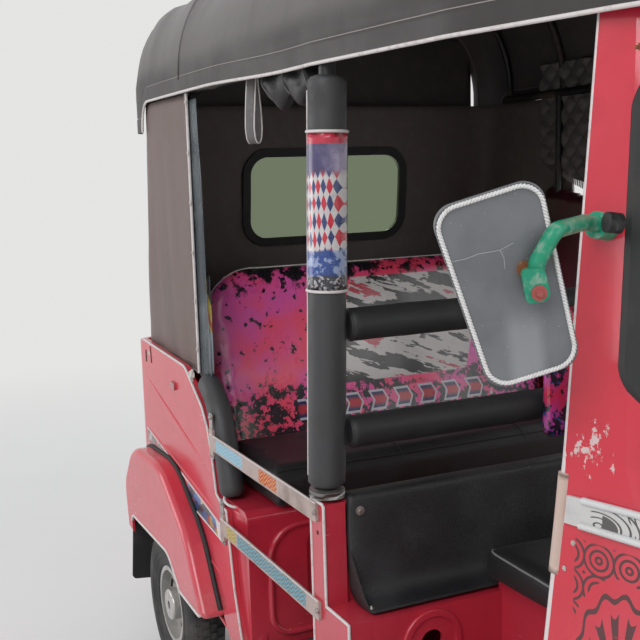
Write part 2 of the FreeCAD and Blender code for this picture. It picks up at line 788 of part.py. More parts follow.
def mirrors():
    points = [V(at(s), -y, z) for s, y, z in MIRROR_ARM]
    root = points[0]
    skin = cowl_block(-S.seat_gap)
    arm = bent_tube([root + (root - points[1]) * 0.6] + points[1:4] + [points[4]], S.mirror_arm_radius, 14)
    collar = rod(root + (root - points[1]) * 0.6, root + (points[1] - root) * 0.35, 17)
    arm = arm.fuse(collar).cut(skin)
    across = V(0.414, 0.867, 0.278).normalize()
    facing = V(0.910, -0.405, -0.092).normalize()
    across = (across - facing * across.dot(facing)).normalize()
    up = facing.cross(across)
    top, bottom, h = S.mirror_top_width / 2, S.mirror_bottom_width / 2, S.mirror_height / 2
    centre = V(at(412.4), -637.8, 1208.4)
    frame = FreeCAD.Matrix(across.x, up.x, facing.x, centre.x, across.y, up.y, facing.y, centre.y,
                           across.z, up.z, facing.z, centre.z, 0, 0, 0, 1)
    outline = [(-bottom, -h, 26), (bottom, -h, 26), (top, h, 26), (-top, h, 26)]
    plate = solid_prism("XY", outline, -S.mirror_wall, 0)
    plate.Placement = FreeCAD.Placement(frame)
    arm = arm.cut(plate)
    node("mirror_arms", pair("mirror_arms", shaped("mirror_arm", arm)))
    node("mirror_plates", pair("mirror_plates", shaped("mirror_plate", plate)))


def partition():
    wall = box("partition_wall_plate", Length="partition_wall", Width="2 * (body_half_width - post_depth / 2)",
               Height="partition_top - floor_top - seat_gap",
               place_x=f"{FRONT_AXLE} - partition_setback",
               place_y="-(body_half_width - post_depth / 2)", place_z="floor_top + seat_gap")
    rear = at(S.partition_setback + 28)
    front = rear + S.post_width
    low = S.floor_top + S.seat_gap
    outline = [(rear, low, 0), (at(S.ledge_setback), low, 0), (at(S.ledge_setback), S.ledge_top, 0),
               (front, S.ledge_top, 0), (front, S.partition_top, 0), (rear, S.partition_top, 0)]
    post = pad("post_right", "XZ", [loop(outline)], "post_depth", place_y="-(body_half_width - post_depth)")
    window = [(rear + 10, low + 10, 0), (at(S.ledge_setback) - 10, low + 10, 0),
              (at(S.ledge_setback) - 10, S.ledge_top - 10, 0), (rear + 10, S.ledge_top - 10, 0)]
    pocket(post, "XZ", [loop(window)], "post_depth - 10", reverse=True)
    node("partition", fuse("partition", [wall, post, mirrored(post)]))


def seat_box():
    wall = S.box_wall
    half = S.body_half_width - S.post_depth - S.seat_gap
    low = S.floor_top + S.seat_gap
    front = at(S.ledge_setback)
    rear = at(S.partition_setback) + S.partition_wall + S.seat_gap
    deck = [(rear, S.ledge_top - wall, 0), (front - wall, S.ledge_top - wall, 0), (front - wall, low, 0),
            (front, low, 0), (front, S.ledge_top, 0), (rear, S.ledge_top, 0)]
    apron = pad("seat_apron", "XZ", [loop(deck)], "2 * (body_half_width - post_depth - seat_gap)", midplane=True)
    ped = S.pedestal_half_width
    nose = at(S.pedestal_front_setback)
    outer = solid_prism("XY", [(front - wall, -ped, 0), (nose, -ped, 30), (nose, ped, 30), (front - wall, ped, 0)],
                        low, S.pedestal_top)
    inner = solid_prism("XY", [(front - 60, -ped + wall, 0), (nose - wall, -ped + wall, 20),
                               (nose - wall, ped - wall, 20), (front - 60, ped - wall, 0)],
                        low - 1, S.pedestal_top - wall)
    ring = rod(V(front - 1, -S.hatch_spread, S.hatch_height), V(front + 5, -S.hatch_spread, S.hatch_height),
               S.hatch_radius).cut(rod(V(front - 2, -S.hatch_spread, S.hatch_height),
                                       V(front + 6, -S.hatch_spread, S.hatch_height), S.hatch_radius - 9))
    hole = rod(V(front - 40, -S.hatch_spread, S.hatch_height), V(front + 40, -S.hatch_spread, S.hatch_height),
               S.hatch_hole_radius)
    raised = fuse("seat_box_raised", [apron, shaped("seat_pedestal", outer), shaped("hatch_ring", ring)])
    hollow = cut("seat_box_hollow", raised, shaped("seat_box_inside", inner))
    node("seat_box", cut("seat_box", hollow, shaped("hatch_hole", hole)))


def partition_pad():
    gap = S.seat_gap
    wall_face = at(S.partition_setback) + S.partition_wall + gap
    low = S.ledge_top + gap
    thick = S.pad_wall
    front = at(S.ledge_setback)
    top = S.partition_top + gap
    rear = at(S.partition_setback + 10)
    outline = [(wall_face, low, 0), (front, low, 0), (front, low + thick, 4), (wall_face + 34, low + thick + 6, 30),
               (wall_face + thick + 6, top + thick, 10), (rear, top + thick, 8), (rear, top, 0),
               (wall_face, top, 0)]
    block = pad("pad_block", "XZ", [loop(outline)], "2 * (body_half_width - post_depth - 2)", midplane=True)
    notch = box("pad_notch", Length="box_wall + 10", Width="2 * (pedestal_half_width + seat_gap)", Height="80",
                place_x=f"{FRONT_AXLE} - ledge_setback - box_wall - seat_gap",
                place_y="-(pedestal_half_width + seat_gap)", place_z="ledge_top - 10")
    node("partition_pad", cut("partition_pad", block, notch))


def cushion(name, outline, width):
    """A closed upholstered block with rounded long edges."""
    return node(name, pad(name, "XZ", [loop(outline)], width, midplane=True))


def seats():
    low = S.pedestal_top + S.seat_gap
    high = low + S.driver_cushion_height
    rear, front = at(S.driver_cushion_rear_setback), at(S.driver_cushion_front_setback)
    cushion("driver_cushion", [(rear, low, 8), (front, low, 14), (front, high - 6, 26), (rear, high, 14)],
            "2 * driver_cushion_half_width")
    low = S.bench_top + S.seat_gap
    high = low + S.cushion_height
    rear, front = at(S.cushion_rear_setback), at(S.cushion_front_setback)
    lean = math.tan(math.radians(S.backrest_lean))
    cushion("bench_cushion", [(rear + lean * S.cushion_height, low, 4), (front, low, 16), (front, high, 34),
                              (rear, high, 10)], "2 * cushion_half_width")
    wide, radius = S.cushion_half_width - 4, S.backrest_corner
    tall = (S.backrest_top - low) / math.cos(math.radians(S.backrest_lean))
    outline = [(-wide, -40, 20), (wide, -40, 20), (wide, tall, radius), (-wide, tall, radius)]
    back = pad("backrest_slab", "YZ", [loop(outline)], "backrest_wall")
    foot = rear + lean * S.cushion_height - S.seat_gap / math.cos(math.radians(S.backrest_lean))
    thick = S.backrest_wall / math.cos(math.radians(S.backrest_lean))
    back.Placement = FreeCAD.Placement(V(foot - thick, 0, low), FreeCAD.Rotation(V(0, 1, 0), -S.backrest_lean))
    below = shaped("below_bench", Part.makeBox(600, 2000, 200, V(foot - 400, -1000, low - 200)))
    node("bench_backrest", cut("bench_backrest", back, below))


def backrest_bars():
    bars = []
    x = at(S.pillar_setback - 5)
    for rise in (S.upper_bar_rise, S.lower_bar_rise):
        height = S.partition_top + rise
        share = rise / (S.cowl_top - S.partition_top)
        reach = S.pillar_base_spread + (S.pillar_top_spread - S.pillar_base_spread) * share
        reach -= S.pillar_pad_radius + 1.2
        bars.append(rod(V(x, -reach, height), V(x, reach, height), S.bar_radius))
    node("backrest_bars", shaped("backrest_bars", Part.makeCompound(bars)))


def driver_backrest():
    wide, radius = S.driver_back_half_width, S.driver_back_corner
    low = S.partition_top + S.lower_bar_rise - S.driver_back_drop
    high = S.partition_top + S.upper_bar_rise + S.driver_back_reach
    outline = [(-wide, low, radius), (wide, low, radius), (wide, high, radius), (-wide, high, radius)]
    node("driver_backrest", pad("driver_backrest", "YZ", [loop(outline)], "driver_back_wall",
                                place_x=f"{FRONT_AXLE} - pillar_setback + 5 + bar_radius + seat_gap"))


def guard_bars():
    front = at(S.partition_setback + 28) + 34
    bars = []
    for name, top, rear_setback in (("upper", S.guard_upper_top, S.guard_rear_setback + 50),
                                    ("lower", S.guard_lower_top, S.guard_rear_setback)):
        rear = at(rear_setback)
        low = top - S.guard_height
        outline = [(rear, low - 14, 4), (rear + 24, low - 14, 4), (rear + 24, low, 0), (front, low, 3),
                   (front, top, 3), (rear + 24, top, 0), (rear + 24, top + 14, 4), (rear, top + 14, 4)]
        bars.append(pad("guard_" + name, "XZ", [loop(outline)], "guard_wall",
                        place_y="-(body_half_width + seat_gap)"))
    node("guard_bars", together("guard_bars", bars))


def side_panels():
    rear = at(S.panel_rear_setback)
    top = S.panel_top
    outline = [(rear, 500, 0), (rear, top + 7, 0), (at(S.jamb_top_setback + 170), top - 12, 60),
               (at(S.jamb_top_setback + 48), S.jamb_top + 60, 60),
               (at(S.jamb_top_setback), S.jamb_top, 20), (at(S.jamb_foot_setback), S.jamb_foot, 10),
               (at(1594), 588, 10), (at(1560), 404, 60),
               (at(1512), S.sill_bottom, 0), (at(1600), S.sill_bottom, 0), (at(1700), 372, 60),
               (at(1790), 470, 60), (at(2130), 500, 60)]
    panel = pad("side_panel_right", "XZ", [loop(outline)], "panel_wall", place_y="-(body_half_width - panel_wall)")
    left = mirrored(panel)
    node("side_panel_right", panel)
    node("side_panel_left", left)


def fenders():
    inner_y = -(S.body_half_width + S.seat_gap)
    outer_y = -S.fender_half_width
    w = S.fender_wall
    outline = [(at(2312), 330, 6), (at(2334), 470, 90), (at(2230), 598, 130), (at(1960), 606, 240),
               (at(1760), 480, 280), (at(1638), 302, 10)]
    shell = solid_prism("XZ", outline, outer_y, inner_y)
    rim = [edge for edge in shell.Edges if abs(edge.BoundBox.YMin - outer_y) < 1e-3
           and abs(edge.BoundBox.YMax - outer_y) < 1e-3 and edge.BoundBox.ZMax > 335]
    shell = shell.makeFillet(S.fender_edge_radius, rim)
    core = [(at(2312) + w + 30 * 22 / 140, 300, 0), (at(2334) + w, 470, 84), (at(2230), 598 - w, 123),
            (at(1960) - w * 0.2, 606 - w, 234), (at(1760) - w * 0.7, 480 - w * 0.6, 274), (at(1638) - w * 1.7, 280, 8)]
    shell = shell.cut(solid_prism("XZ", core, outer_y + w, inner_y + 2))
    opening = [(at(2262), 200, 0), (at(2262), 388, 26), (at(1905), 388, 90), (at(1770), 285, 60), (at(1745), 200, 0)]
    shell = shell.cut(solid_prism("XZ", opening, outer_y - 20, inner_y + 10))
    node("fenders", pair("fenders", shaped("fender_right", shell)))


def mudflaps():
    x = at(2312) + S.fender_wall + S.seat_gap
    outline = [(-644, 176, 12), (-560, 166, 12), (-560, 345, 0), (-633, 345, 0)]
    flap = solid_prism("YZ", outline, x, x + 6)
    node("mudflaps", pair("mudflaps", shaped("mudflap_right", flap)))


def rear_panel():
    half = S.body_half_width
    front = at(S.panel_rear_setback) - S.seat_gap
    rear = at(S.rear_face_setback)
    wall = S.panel_wall
    outer = solid_prism("XY", [(front, -half, 0), (front, half, 0), (rear, half, S.rear_corner),
                               (rear, -half, S.rear_corner)], S.rear_bottom, S.panel_top)
    inner = solid_prism("XY", [(front + 1, -half + wall, 0), (front + 1, half - wall, 0),
                               (rear + wall, half - wall, S.rear_corner - wall),
                               (rear + wall, -half + wall, S.rear_corner - wall)],
                        S.rear_bottom - 1, S.panel_top + 1)
    gap = S.door_gap
    hatch = [(-S.engine_door_half_width - gap, S.engine_door_bottom - gap, 30),
             (S.engine_door_half_width + gap, S.engine_door_bottom - gap, 30),
             (S.engine_door_half_width + gap, S.engine_door_top + gap, 30),
             (-S.engine_door_half_width - gap, S.engine_door_top + gap, 30)]
    panel = outer.cut(inner).cut(solid_prism("YZ", hatch, rear - 10, rear + wall + 10))
    node("rear_panel", shaped("rear_panel", panel))


def engine_door():
    half = S.engine_door_half_width
    low, high = S.engine_door_bottom, S.engine_door_top
    outline = [(-half, low, 24), (half, low, 24), (half, high, 24), (-half, high, 24)]
    door = pad("engine_door", "YZ", [loop(outline)], "panel_wall",
               place_x=f"{FRONT_AXLE} - rear_face_setback")
    pitch = 26
    slot = [(-200, low + 60, 5), (-40, low + 60, 5), (-40, low + 72, 5), (-200, low + 72, 5)]
    first = door.newObject("PartDesign::Pocket", "louvre")
    first.Profile = sketch(door, "YZ", [loop(slot), loop([(-x, y, r) for x, y, r in reversed(slot)])], "slots")
    first.Reversed = True
    first.Midplane = True
    bind(first, Length="4 * panel_wall")
    doc.recompute()
    rows = door.newObject("PartDesign::LinearPattern", "louvres")
    rows.Originals = [first]
    axis = [f for f in door.Origin.OriginFeatures if f.Role == "Z_Axis"][0]
    rows.Direction = (axis, [""])
    rows.Length = pitch * 7
    rows.Occurrences = 8
    door.Tip = rows
    node("engine_door", door)


def bench_base():
    wall = S.bench_wall
    low = S.floor_top + S.seat_gap
    half = S.body_half_width - S.panel_wall - S.seat_gap
    front = at(S.bench_front_setback)
    rear = at(S.rear_face_setback - S.panel_wall) + S.seat_gap
    section = [(rear, S.bench_top - wall, 0), (front - wall, S.bench_top - wall, 0), (front - wall, low - 6, 0),
               (front, low - 6, 0), (front, S.bench_top, 22), (rear, S.bench_top, 0)]
    shell = pad("bench_shell", "XZ", [loop(section)], "2 * (body_half_width - panel_wall - seat_gap)", midplane=True)
    sides = [box(f"bench_side_{name}", Length="rear_face_setback - 30 - bench_front_setback - bench_wall",
                 Width="bench_wall", Height="bench_top - floor_top - 26",
                 place_x=f"{FRONT_AXLE} - rear_face_setback + 30", place_y=place, place_z="floor_top + 22")
             for name, place in (("right", "-bench_inner_half_width - bench_wall"),
                                 ("left", "bench_inner_half_width"))]
    wide = S.bench_inner_half_width - 10
    recess = solid_prism("YZ", [(-wide, low + 34, 40), (wide, low + 34, 40), (wide, S.bench_top - 45, 60),
                                (-wide, S.bench_top - 45, 60)], front - S.bench_recess, front + 20)
    base = fuse("bench_joined", [shell] + sides)
    base = cut("bench_recessed", base, shaped("bench_recess_block", recess))
    trimmed = common("bench_base", [base, shaped("bench_plan", solid_prism("XY", [
        (front + 10, -half, 0), (front + 10, half, 0), (rear, half, S.rear_corner), (rear, -half, S.rear_corner)],
        0, 900))])
    node("bench_base", trimmed)


def rear_bumper():
    face = at(S.wheelbase + S.rear_overhang)
    half = S.bumper_half_width
    low = S.bumper_bottom
    bar = solid_prism("XY", [(face, -half, 26), (face, half, 26), (face + S.bumper_wall + 24, half, 10),
                             (face + S.bumper_wall + 24, half - 30, 6), (face + S.bumper_wall, half - 50, 10),
                             (face + S.bumper_wall, -half + 50, 10), (face + S.bumper_wall + 24, -half + 30, 6),
                             (face + S.bumper_wall + 24, -half, 10)], low, low + S.bumper_height)
    base = S.floor_top - S.floor_wall - S.seat_gap
    rail_end = at(S.rail_rear_setback) - S.seat_gap
    arms = [solid_prism("XZ", [(rail_end, base - S.rail_height, 0), (rail_end, base, 0),
                               (rail_end - 8, base, 0), (face + S.bumper_wall - 1, low + 50, 0),
                               (face + S.bumper_wall - 1, low + 10, 0), (rail_end - 8, base - S.rail_height, 0)],
                        side * S.rail_spread - 18, side * S.rail_spread + 18) for side in (-1, 1)]
    holes = [rod(V(face - 10, side * S.plate_spread / 2, low + S.bumper_height / 2),
                 V(face + 60, side * S.plate_spread / 2, low + S.bumper_height / 2), S.plate_hole_radius)
             for side in (-1, 1)]
    node("rear_bumper", shaped("rear_bumper", bar.fuse(arms).cut(holes[0]).cut(holes[1])))


def power_unit():
    node("engine_block", box("engine_block", Length="engine_length", Width="2 * engine_half_width",
                             Height="engine_height",
                             place_x=f"{FRONT_AXLE} - engine_front_setback - engine_length",
                             place_y="-engine_half_width", place_z="floor_top - floor_wall"))
    x = at(S.muffler_setback)
    can = rod(V(x, -S.muffler_length / 2, S.muffler_height), V(x, S.muffler_length / 2, S.muffler_height),
              S.muffler_radius)
    engine_rear = at(S.engine_front_setback) - S.engine_length
    pipe = rod(V(engine_rear - S.seat_gap, 60, S.muffler_height), V(x, 60, S.muffler_height), 18)
    low = S.muffler_height - S.muffler_radius - 8
    tail = bent_tube([V(x, -90, S.muffler_height), V(x, -90, low), V(at(S.rear_face_setback + 27), -90, low)], 14, 30)
    node("exhaust", shaped("exhaust", can.fuse([pipe, tail])))


def rear_running_gear():
    hub_inner = S.rear_track / 2 - S.hub_length / 2
    y, half = S.arm_spread, S.arm_half_width
    base = S.floor_top - S.floor_wall - S.seat_gap
    pivot = V(at(S.bench_front_setback + 60 + S.cross_width + 34) - S.seat_gap, 0, base - 30)
    hub = V(rear_axle_x, 0, S.tyre_radius)
    arm_top = hub.z + 44
    arm = solid_prism("XZ", [(pivot.x + 34, pivot.z - 26, 22), (pivot.x + 34, pivot.z + 26, 22),
                             (hub.x + 90, arm_top, 40), (hub.x - 46, arm_top, 30),
                             (hub.x - 46, hub.z - 42, 30), (hub.x + 60, hub.z - 36, 40)], -y - half, -y + half)
    stub = rod(V(hub.x, -y - half + 2, hub.z), V(hub.x, -S.rear_track / 2 - S.hub_length / 2 + 6, hub.z),
               S.axle_radius)
    collar = rod(V(hub.x, -y - half + 2, hub.z), V(hub.x, -hub_inner + 5.5, hub.z), 30)
    node("rear_arms", pair("rear_arms", shaped("rear_arm", arm.fuse([stub, collar]))))
    top = S.bench_top - S.bench_wall - S.seat_gap
    foot = arm_top + S.seat_gap
    spring_x = hub.x + 40
    damper = rod(V(spring_x, -y, foot + 30), V(spring_x, -y, top - 24), 25)
    damper = damper.fuse([rod(V(spring_x, -y, foot), V(spring_x, -y, top), 12),
                          rod(V(spring_x, -y, top - 8), V(spring_x, -y, top), 30)])
    node("rear_dampers", pair("rear_dampers", shaped("rear_damper", damper)))
    inner = S.engine_half_width + S.seat_gap
    output = V(hub.x, -inner, 318)
    shaft = rod(output, V(hub.x, -y, hub.z + 12), 11).fuse(rod(output, output + V(0, -46, -20), 30))
    near = Part.makeBox(200, inner, 300, V(hub.x - 100, -inner, 200))
    wall = Part.makeBox(200, 200, 300, V(hub.x - 100, -y + half + S.seat_gap - 200, 60))
    shaft = shaft.cut(near).cut(wall)
    node("drive_shafts", pair("drive_shafts", shaped("drive_shaft", shaft)))


def tyre_loop():
    """The tyre's section: radius across, width up, with a flat tread and round shoulders."""
    r, w, b = S.tyre_radius, S.tyre_width / 2, S.bead_radius + S.rim_gap
    bead = S.rim_width / 2 - 8
    return loop([(b, -bead, 0), (b + 26, -w, 18), (r - 6, -w + 6, 20), (r, -w + 26, 0), (r, w - 26, 0),
                 (r - 6, w - 6, 20), (b + 26, w, 18), (b, bead, 0)])


def rim(name):
    """A pressed wheel: rolled rim, dished disc with round vents, and a bored hub."""
    b, w = S.bead_radius, S.rim_width / 2
    hole = S.axle_radius + S.axle_gap
    hub = S.hub_length / 2
    outline = loop([(hole, -hub, 0), (S.hub_radius, -hub, 6), (S.hub_radius, -14, 0), (b - 12, -14, 0),
                    (b - 12, -w + 10, 0), (b - 12, -w, 0), (b, -w, 0), (b, w, 0), (b - 12, w, 0),
                    (b - 12, -6, 0), (S.hub_radius, -6, 0), (S.hub_radius - 8, hub, 8), (hole, hub, 0)])
    return revolve(name, [outline])


def wheel(tyre_name, rim_name, place):
    """A tyre on its rim, centred on the axle's place."""
    tyre = revolve(tyre_name, [tyre_loop()])
    disc = rim(rim_name)
    spokes = disc.newObject("PartDesign::Pocket", "vent")
    spokes.Profile = sketch(disc, "XZ", [circle((S.hub_radius + S.bead_radius - 12) / 2, 0, 13)], "vent_outline")
    spokes.Midplane = True
    bind(spokes, Length="rim_width")
    doc.recompute()
    vents = disc.newObject("PartDesign::PolarPattern", "vents")
    vents.Originals = [spokes]
    axis = [f for f in disc.Origin.OriginFeatures if f.Role == "Y_Axis"][0]
    vents.Axis = (axis, [""])
    vents.Angle = 360
    vents.Occurrences = 8
    disc.Tip = vents
    for item in (tyre, disc):
        item.Placement.Base = place
    node(tyre_name, tyre)
    node(rim_name, disc)


def wheels():
    wheel("front_tyre", "front_rim", V(front_axle_x, 0, S.tyre_radius))
    wheel("rear_tyre_right", "rear_rim_right", V(rear_axle_x, -S.rear_track / 2, S.tyre_radius))
    wheel("rear_tyre_left", "rear_rim_left", V(rear_axle_x, S.rear_track / 2, S.tyre_radius))


def steering():
    """Fork, handlebar and mudguard, drawn along an upright axis and then raked."""
    centre = V(front_axle_x, 0, S.tyre_radius)
    origin = steering_point(S.tyre_radius)
    angle = math.radians(S.rake)
    ahead = centre.x - origin.x
    wheel_at = V(ahead * math.cos(angle), 0, -ahead * math.sin(angle))
    turn = FreeCAD.Placement(origin, FreeCAD.Rotation(V(0, 1, 0), -S.rake))
    guard_outer = S.front_overhang
    guard_inner = guard_outer - S.mudguard_wall
    crown_low = wheel_at.z + guard_outer + 4
    crown_high = crown_low + 26
    y = S.leg_spread
    top = S.column_length
    column = rod(V(0, 0, crown_low), V(0, 0, top), S.column_radius)
    crown = solid_prism("XY", [(-26, -34, 20), (26, -34, 20), (22, y + 18, 14), (-22, y + 18, 14)],
                        crown_low, crown_high)
    pivot = V(-74, y, wheel_at.z + 70)
    leg = bent_tube([V(0, y, crown_low + 6), V(0, y, crown_low - 60), pivot], S.leg_radius, 40)
    link = solid_prism("XZ", [(pivot.x - 20, pivot.z - 22, 18), (pivot.x - 12, pivot.z + 22, 18),
                              (wheel_at.x + 24, wheel_at.z + 24, 22), (wheel_at.x + 24, wheel_at.z - 26, 22)],
                       y - 16, y + 16)
    stub = rod(V(wheel_at.x, y, wheel_at.z), V(wheel_at.x, -S.hub_length / 2 + 6, wheel_at.z), S.axle_radius)
    spacer = rod(V(wheel_at.x, y, wheel_at.z), V(wheel_at.x, S.hub_length / 2 + 2, wheel_at.z), 24)
    damper = rod(V(18, y, crown_low + 4), V(wheel_at.x + 6, y, wheel_at.z + 12), 15)
    fork = column.fuse([crown, leg, link, stub, spacer, damper])
    fork.Placement = turn
    node("front_fork", shaped("front_fork", fork))

    half = S.mudguard_half_width
    ring = Part.makeCylinder(guard_outer, 2 * half, wheel_at + V(0, -half, 0), V(0, 1, 0))
    ring = ring.cut(Part.makeCylinder(guard_inner, 2 * half - 2 * S.mudguard_wall,
                                      wheel_at + V(0, -half + S.mudguard_wall, 0), V(0, 1, 0)))
    ring = ring.cut(Part.makeCylinder(guard_inner - 50, 2 * half + 20, wheel_at + V(0, -half - 10, 0), V(0, 1, 0)))
    spread = 500
    low_cut = solid_prism("XZ", [(wheel_at.x, wheel_at.z, 0), (wheel_at.x + spread, wheel_at.z - 190, 0),
                                 (wheel_at.x + spread, -spread, 0), (-spread, -spread, 0),
                                 (-spread, wheel_at.z - 40, 0)], -200, 200)
    guard = ring.cut(low_cut)
    seat = solid_prism("XY", [(-26, -30, 10), (26, -30, 10), (26, 30, 10), (-26, 30, 10)],
                       wheel_at.z + guard_inner - 3, crown_low - S.seat_gap)
    seat = seat.cut(Part.makeCylinder(guard_outer - 1, 200, wheel_at + V(0, -100, 0), V(0, 1, 0)))
    guard = guard.fuse(seat)
    guard.Placement = turn
    node("front_mudguard", shaped("front_mudguard", guard))

    bar_z = top + 14
    reach = S.bar_half_length
    bar = bent_tube([V(-74, -reach, bar_z), V(-52, -110, bar_z), V(0, -60, bar_z), V(0, 60, bar_z),
                     V(-52, 110, bar_z), V(-74, reach, bar_z)], S.handlebar_radius, 34)
    grips = [rod(V(-74, side * reach, bar_z), V(-62, side * (reach - 110), bar_z), S.handlebar_radius + 4)
             for side in (-1, 1)]
    head = solid_prism("XY", [(-46, -70, 20), (34, -58, 20), (34, 58, 20), (-46, 70, 20)],
                       top + S.seat_gap, top + S.head_height)
    cover = bar.fuse(grips + [head])
    cover.Placement = turn
    node("handlebar", shaped("handlebar", cover))


def rail_height_at(setback):
    """Height of the roof rail's centre line behind the pillars."""
    start = S.cowl_top + S.rail_tube_radius + S.seat_gap + 2
    return start - 6 * (setback - 1075) / 1015


def soft_hangings():
    y = S.pillar_top_spread - 46
    r = S.curtain_roll_radius
    reach = (r + S.rail_tube_radius + S.seat_gap) * math.sqrt(0.5)
    start, end = S.roll_start_setback, S.roll_end_setback
    roll = rod(V(at(start), reach - S.pillar_top_spread, rail_height_at(start) - reach),
               V(at(end), reach - S.pillar_top_spread, rail_height_at(end) - reach), r)
    node("curtain_rolls", pair("curtain_rolls", shaped("curtain_roll", roll)))
    w, wall, half = S.strap_width, S.strap_wall, S.strap_loop_half_width
    top = rail_height_at(S.strap_setback) - S.rail_tube_radius - S.seat_gap
    low = top - S.strap_length
    outer = solid_prism("YZ", [(-8, top, 2), (-half, low + 30, 60), (-half, low, half - 1), (half, low, half - 1),
                               (half, low + 30, 60), (8, top, 2)], -w / 2, w / 2)
    inner = solid_prism("YZ", [(wall - 8, top - wall, 1), (wall - half, low + 30, 57),
                               (wall - half, low + wall, half - wall - 1), (half - wall, low + wall, half - wall - 1),
                               (half - wall, low + 30, 57), (8 - wall, top - wall, 1)], -w / 2 - 1, w / 2 + 1)
    strap = outer.cut(inner)
    strap.Placement = FreeCAD.Placement(V(at(S.strap_setback), -S.pillar_top_spread, 0),
                                        FreeCAD.Rotation(V(0, 0, 1), 40))
    node("hanging_straps", pair("hanging_straps", shaped("hanging_strap", strap)))


for build in (chassis_frame, floor_pan, front_cowl, windows, dashboard, headlamp, signal_lamps, trim_strip, mirrors,
              partition, seat_box, partition_pad, seats, roof_frame, pillar_pads, backrest_bars,
              driver_backrest, guard_bars, side_panels, bench_base, rear_panel, engine_door, fenders, mudflaps,
              hood_curtain, hood_roof, rear_bumper, power_unit, rear_running_gear, soft_hangings, steering, wheels):
    build()

doc.recompute()
for item in doc.Objects:
    if "Invalid" in item.State or "Error" in item.State:
        raise RuntimeError(f"{item.Name} did not build")
os.makedirs("parts", exist_ok=True)
for name, item in NODES:
    shape = item.Shape
    if shape.isNull() or not shape.isValid() or not shape.Solids:
        raise RuntimeError(f"{name} has no valid solid")
    shape.exportStep(f"parts/{name}.step")
    print(name, len(shape.Solids), round(shape.Volume / 1e3), [round(v) for v in (
        shape.BoundBox.XMin, shape.BoundBox.XMax, shape.BoundBox.YMin, shape.BoundBox.YMax,
        shape.BoundBox.ZMin, shape.BoundBox.ZMax)])
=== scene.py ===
from math import copysign, cos, exp, pi, radians, sin, sqrt, tan

import bmesh
import bpy
from mathutils import Matrix, Vector, noise
from mathutils.bvhtree import BVHTree


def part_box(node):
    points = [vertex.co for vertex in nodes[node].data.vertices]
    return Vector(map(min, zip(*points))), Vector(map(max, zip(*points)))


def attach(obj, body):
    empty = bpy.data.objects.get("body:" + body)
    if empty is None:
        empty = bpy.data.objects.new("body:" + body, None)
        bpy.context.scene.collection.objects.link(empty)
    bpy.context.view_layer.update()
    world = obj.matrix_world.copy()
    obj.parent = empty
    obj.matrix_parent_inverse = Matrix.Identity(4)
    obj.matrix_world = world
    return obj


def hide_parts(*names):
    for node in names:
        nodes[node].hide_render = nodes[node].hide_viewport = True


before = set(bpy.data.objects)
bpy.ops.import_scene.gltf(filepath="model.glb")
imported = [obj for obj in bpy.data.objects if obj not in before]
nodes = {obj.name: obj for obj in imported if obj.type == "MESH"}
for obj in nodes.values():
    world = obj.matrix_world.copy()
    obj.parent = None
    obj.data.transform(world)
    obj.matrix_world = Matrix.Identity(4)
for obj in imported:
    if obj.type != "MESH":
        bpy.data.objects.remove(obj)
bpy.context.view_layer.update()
SIDES = ((-1, "right"), (1, "left"))


def at(x, y, z):
    return Vector((x, y, z))


# Red pressed steel: the cowl, side panels, fenders, engine lid and boxes, all welded sheet
# sprayed in one gloss red that the sun has faded to pink outside, with dust, short
# scratches and grime towards the floor.

FRESH_RED = (0.58, 0.022, 0.045)
FADED_RED = (0.62, 0.060, 0.090)
DEEP_RED = (0.33, 0.010, 0.022)
CABIN_FRESH = (0.52, 0.026, 0.050)
CABIN_FADED = (0.56, 0.045, 0.070)
DUST = (0.42, 0.34, 0.28)
PRIMER = (0.66, 0.58, 0.56)


class Signal:
    """A shader socket that takes Python's operators; each one adds a Math node."""

    def __init__(self, finish, socket):
        self.finish = finish
        self.socket = socket

    def maths(self, operation, *values):
        return self.finish.node("ShaderNodeMath", {"operation": operation}, dict(enumerate(values)))

    def __add__(self, other):
        return self.maths("ADD", self, other)

    def __radd__(self, other):
        return self.maths("ADD", other, self)

    def __sub__(self, other):
        return self.maths("SUBTRACT", self, other)

    def __rsub__(self, other):
        return self.maths("SUBTRACT", other, self)

    def __mul__(self, other):
        return self.maths("MULTIPLY", self, other)

    def __rmul__(self, other):
        return self.maths("MULTIPLY", other, self)

    def __mod__(self, other):
        return self.maths("FLOORED_MODULO", self, other)

    def __abs__(self):
        return self.maths("ABSOLUTE", self)


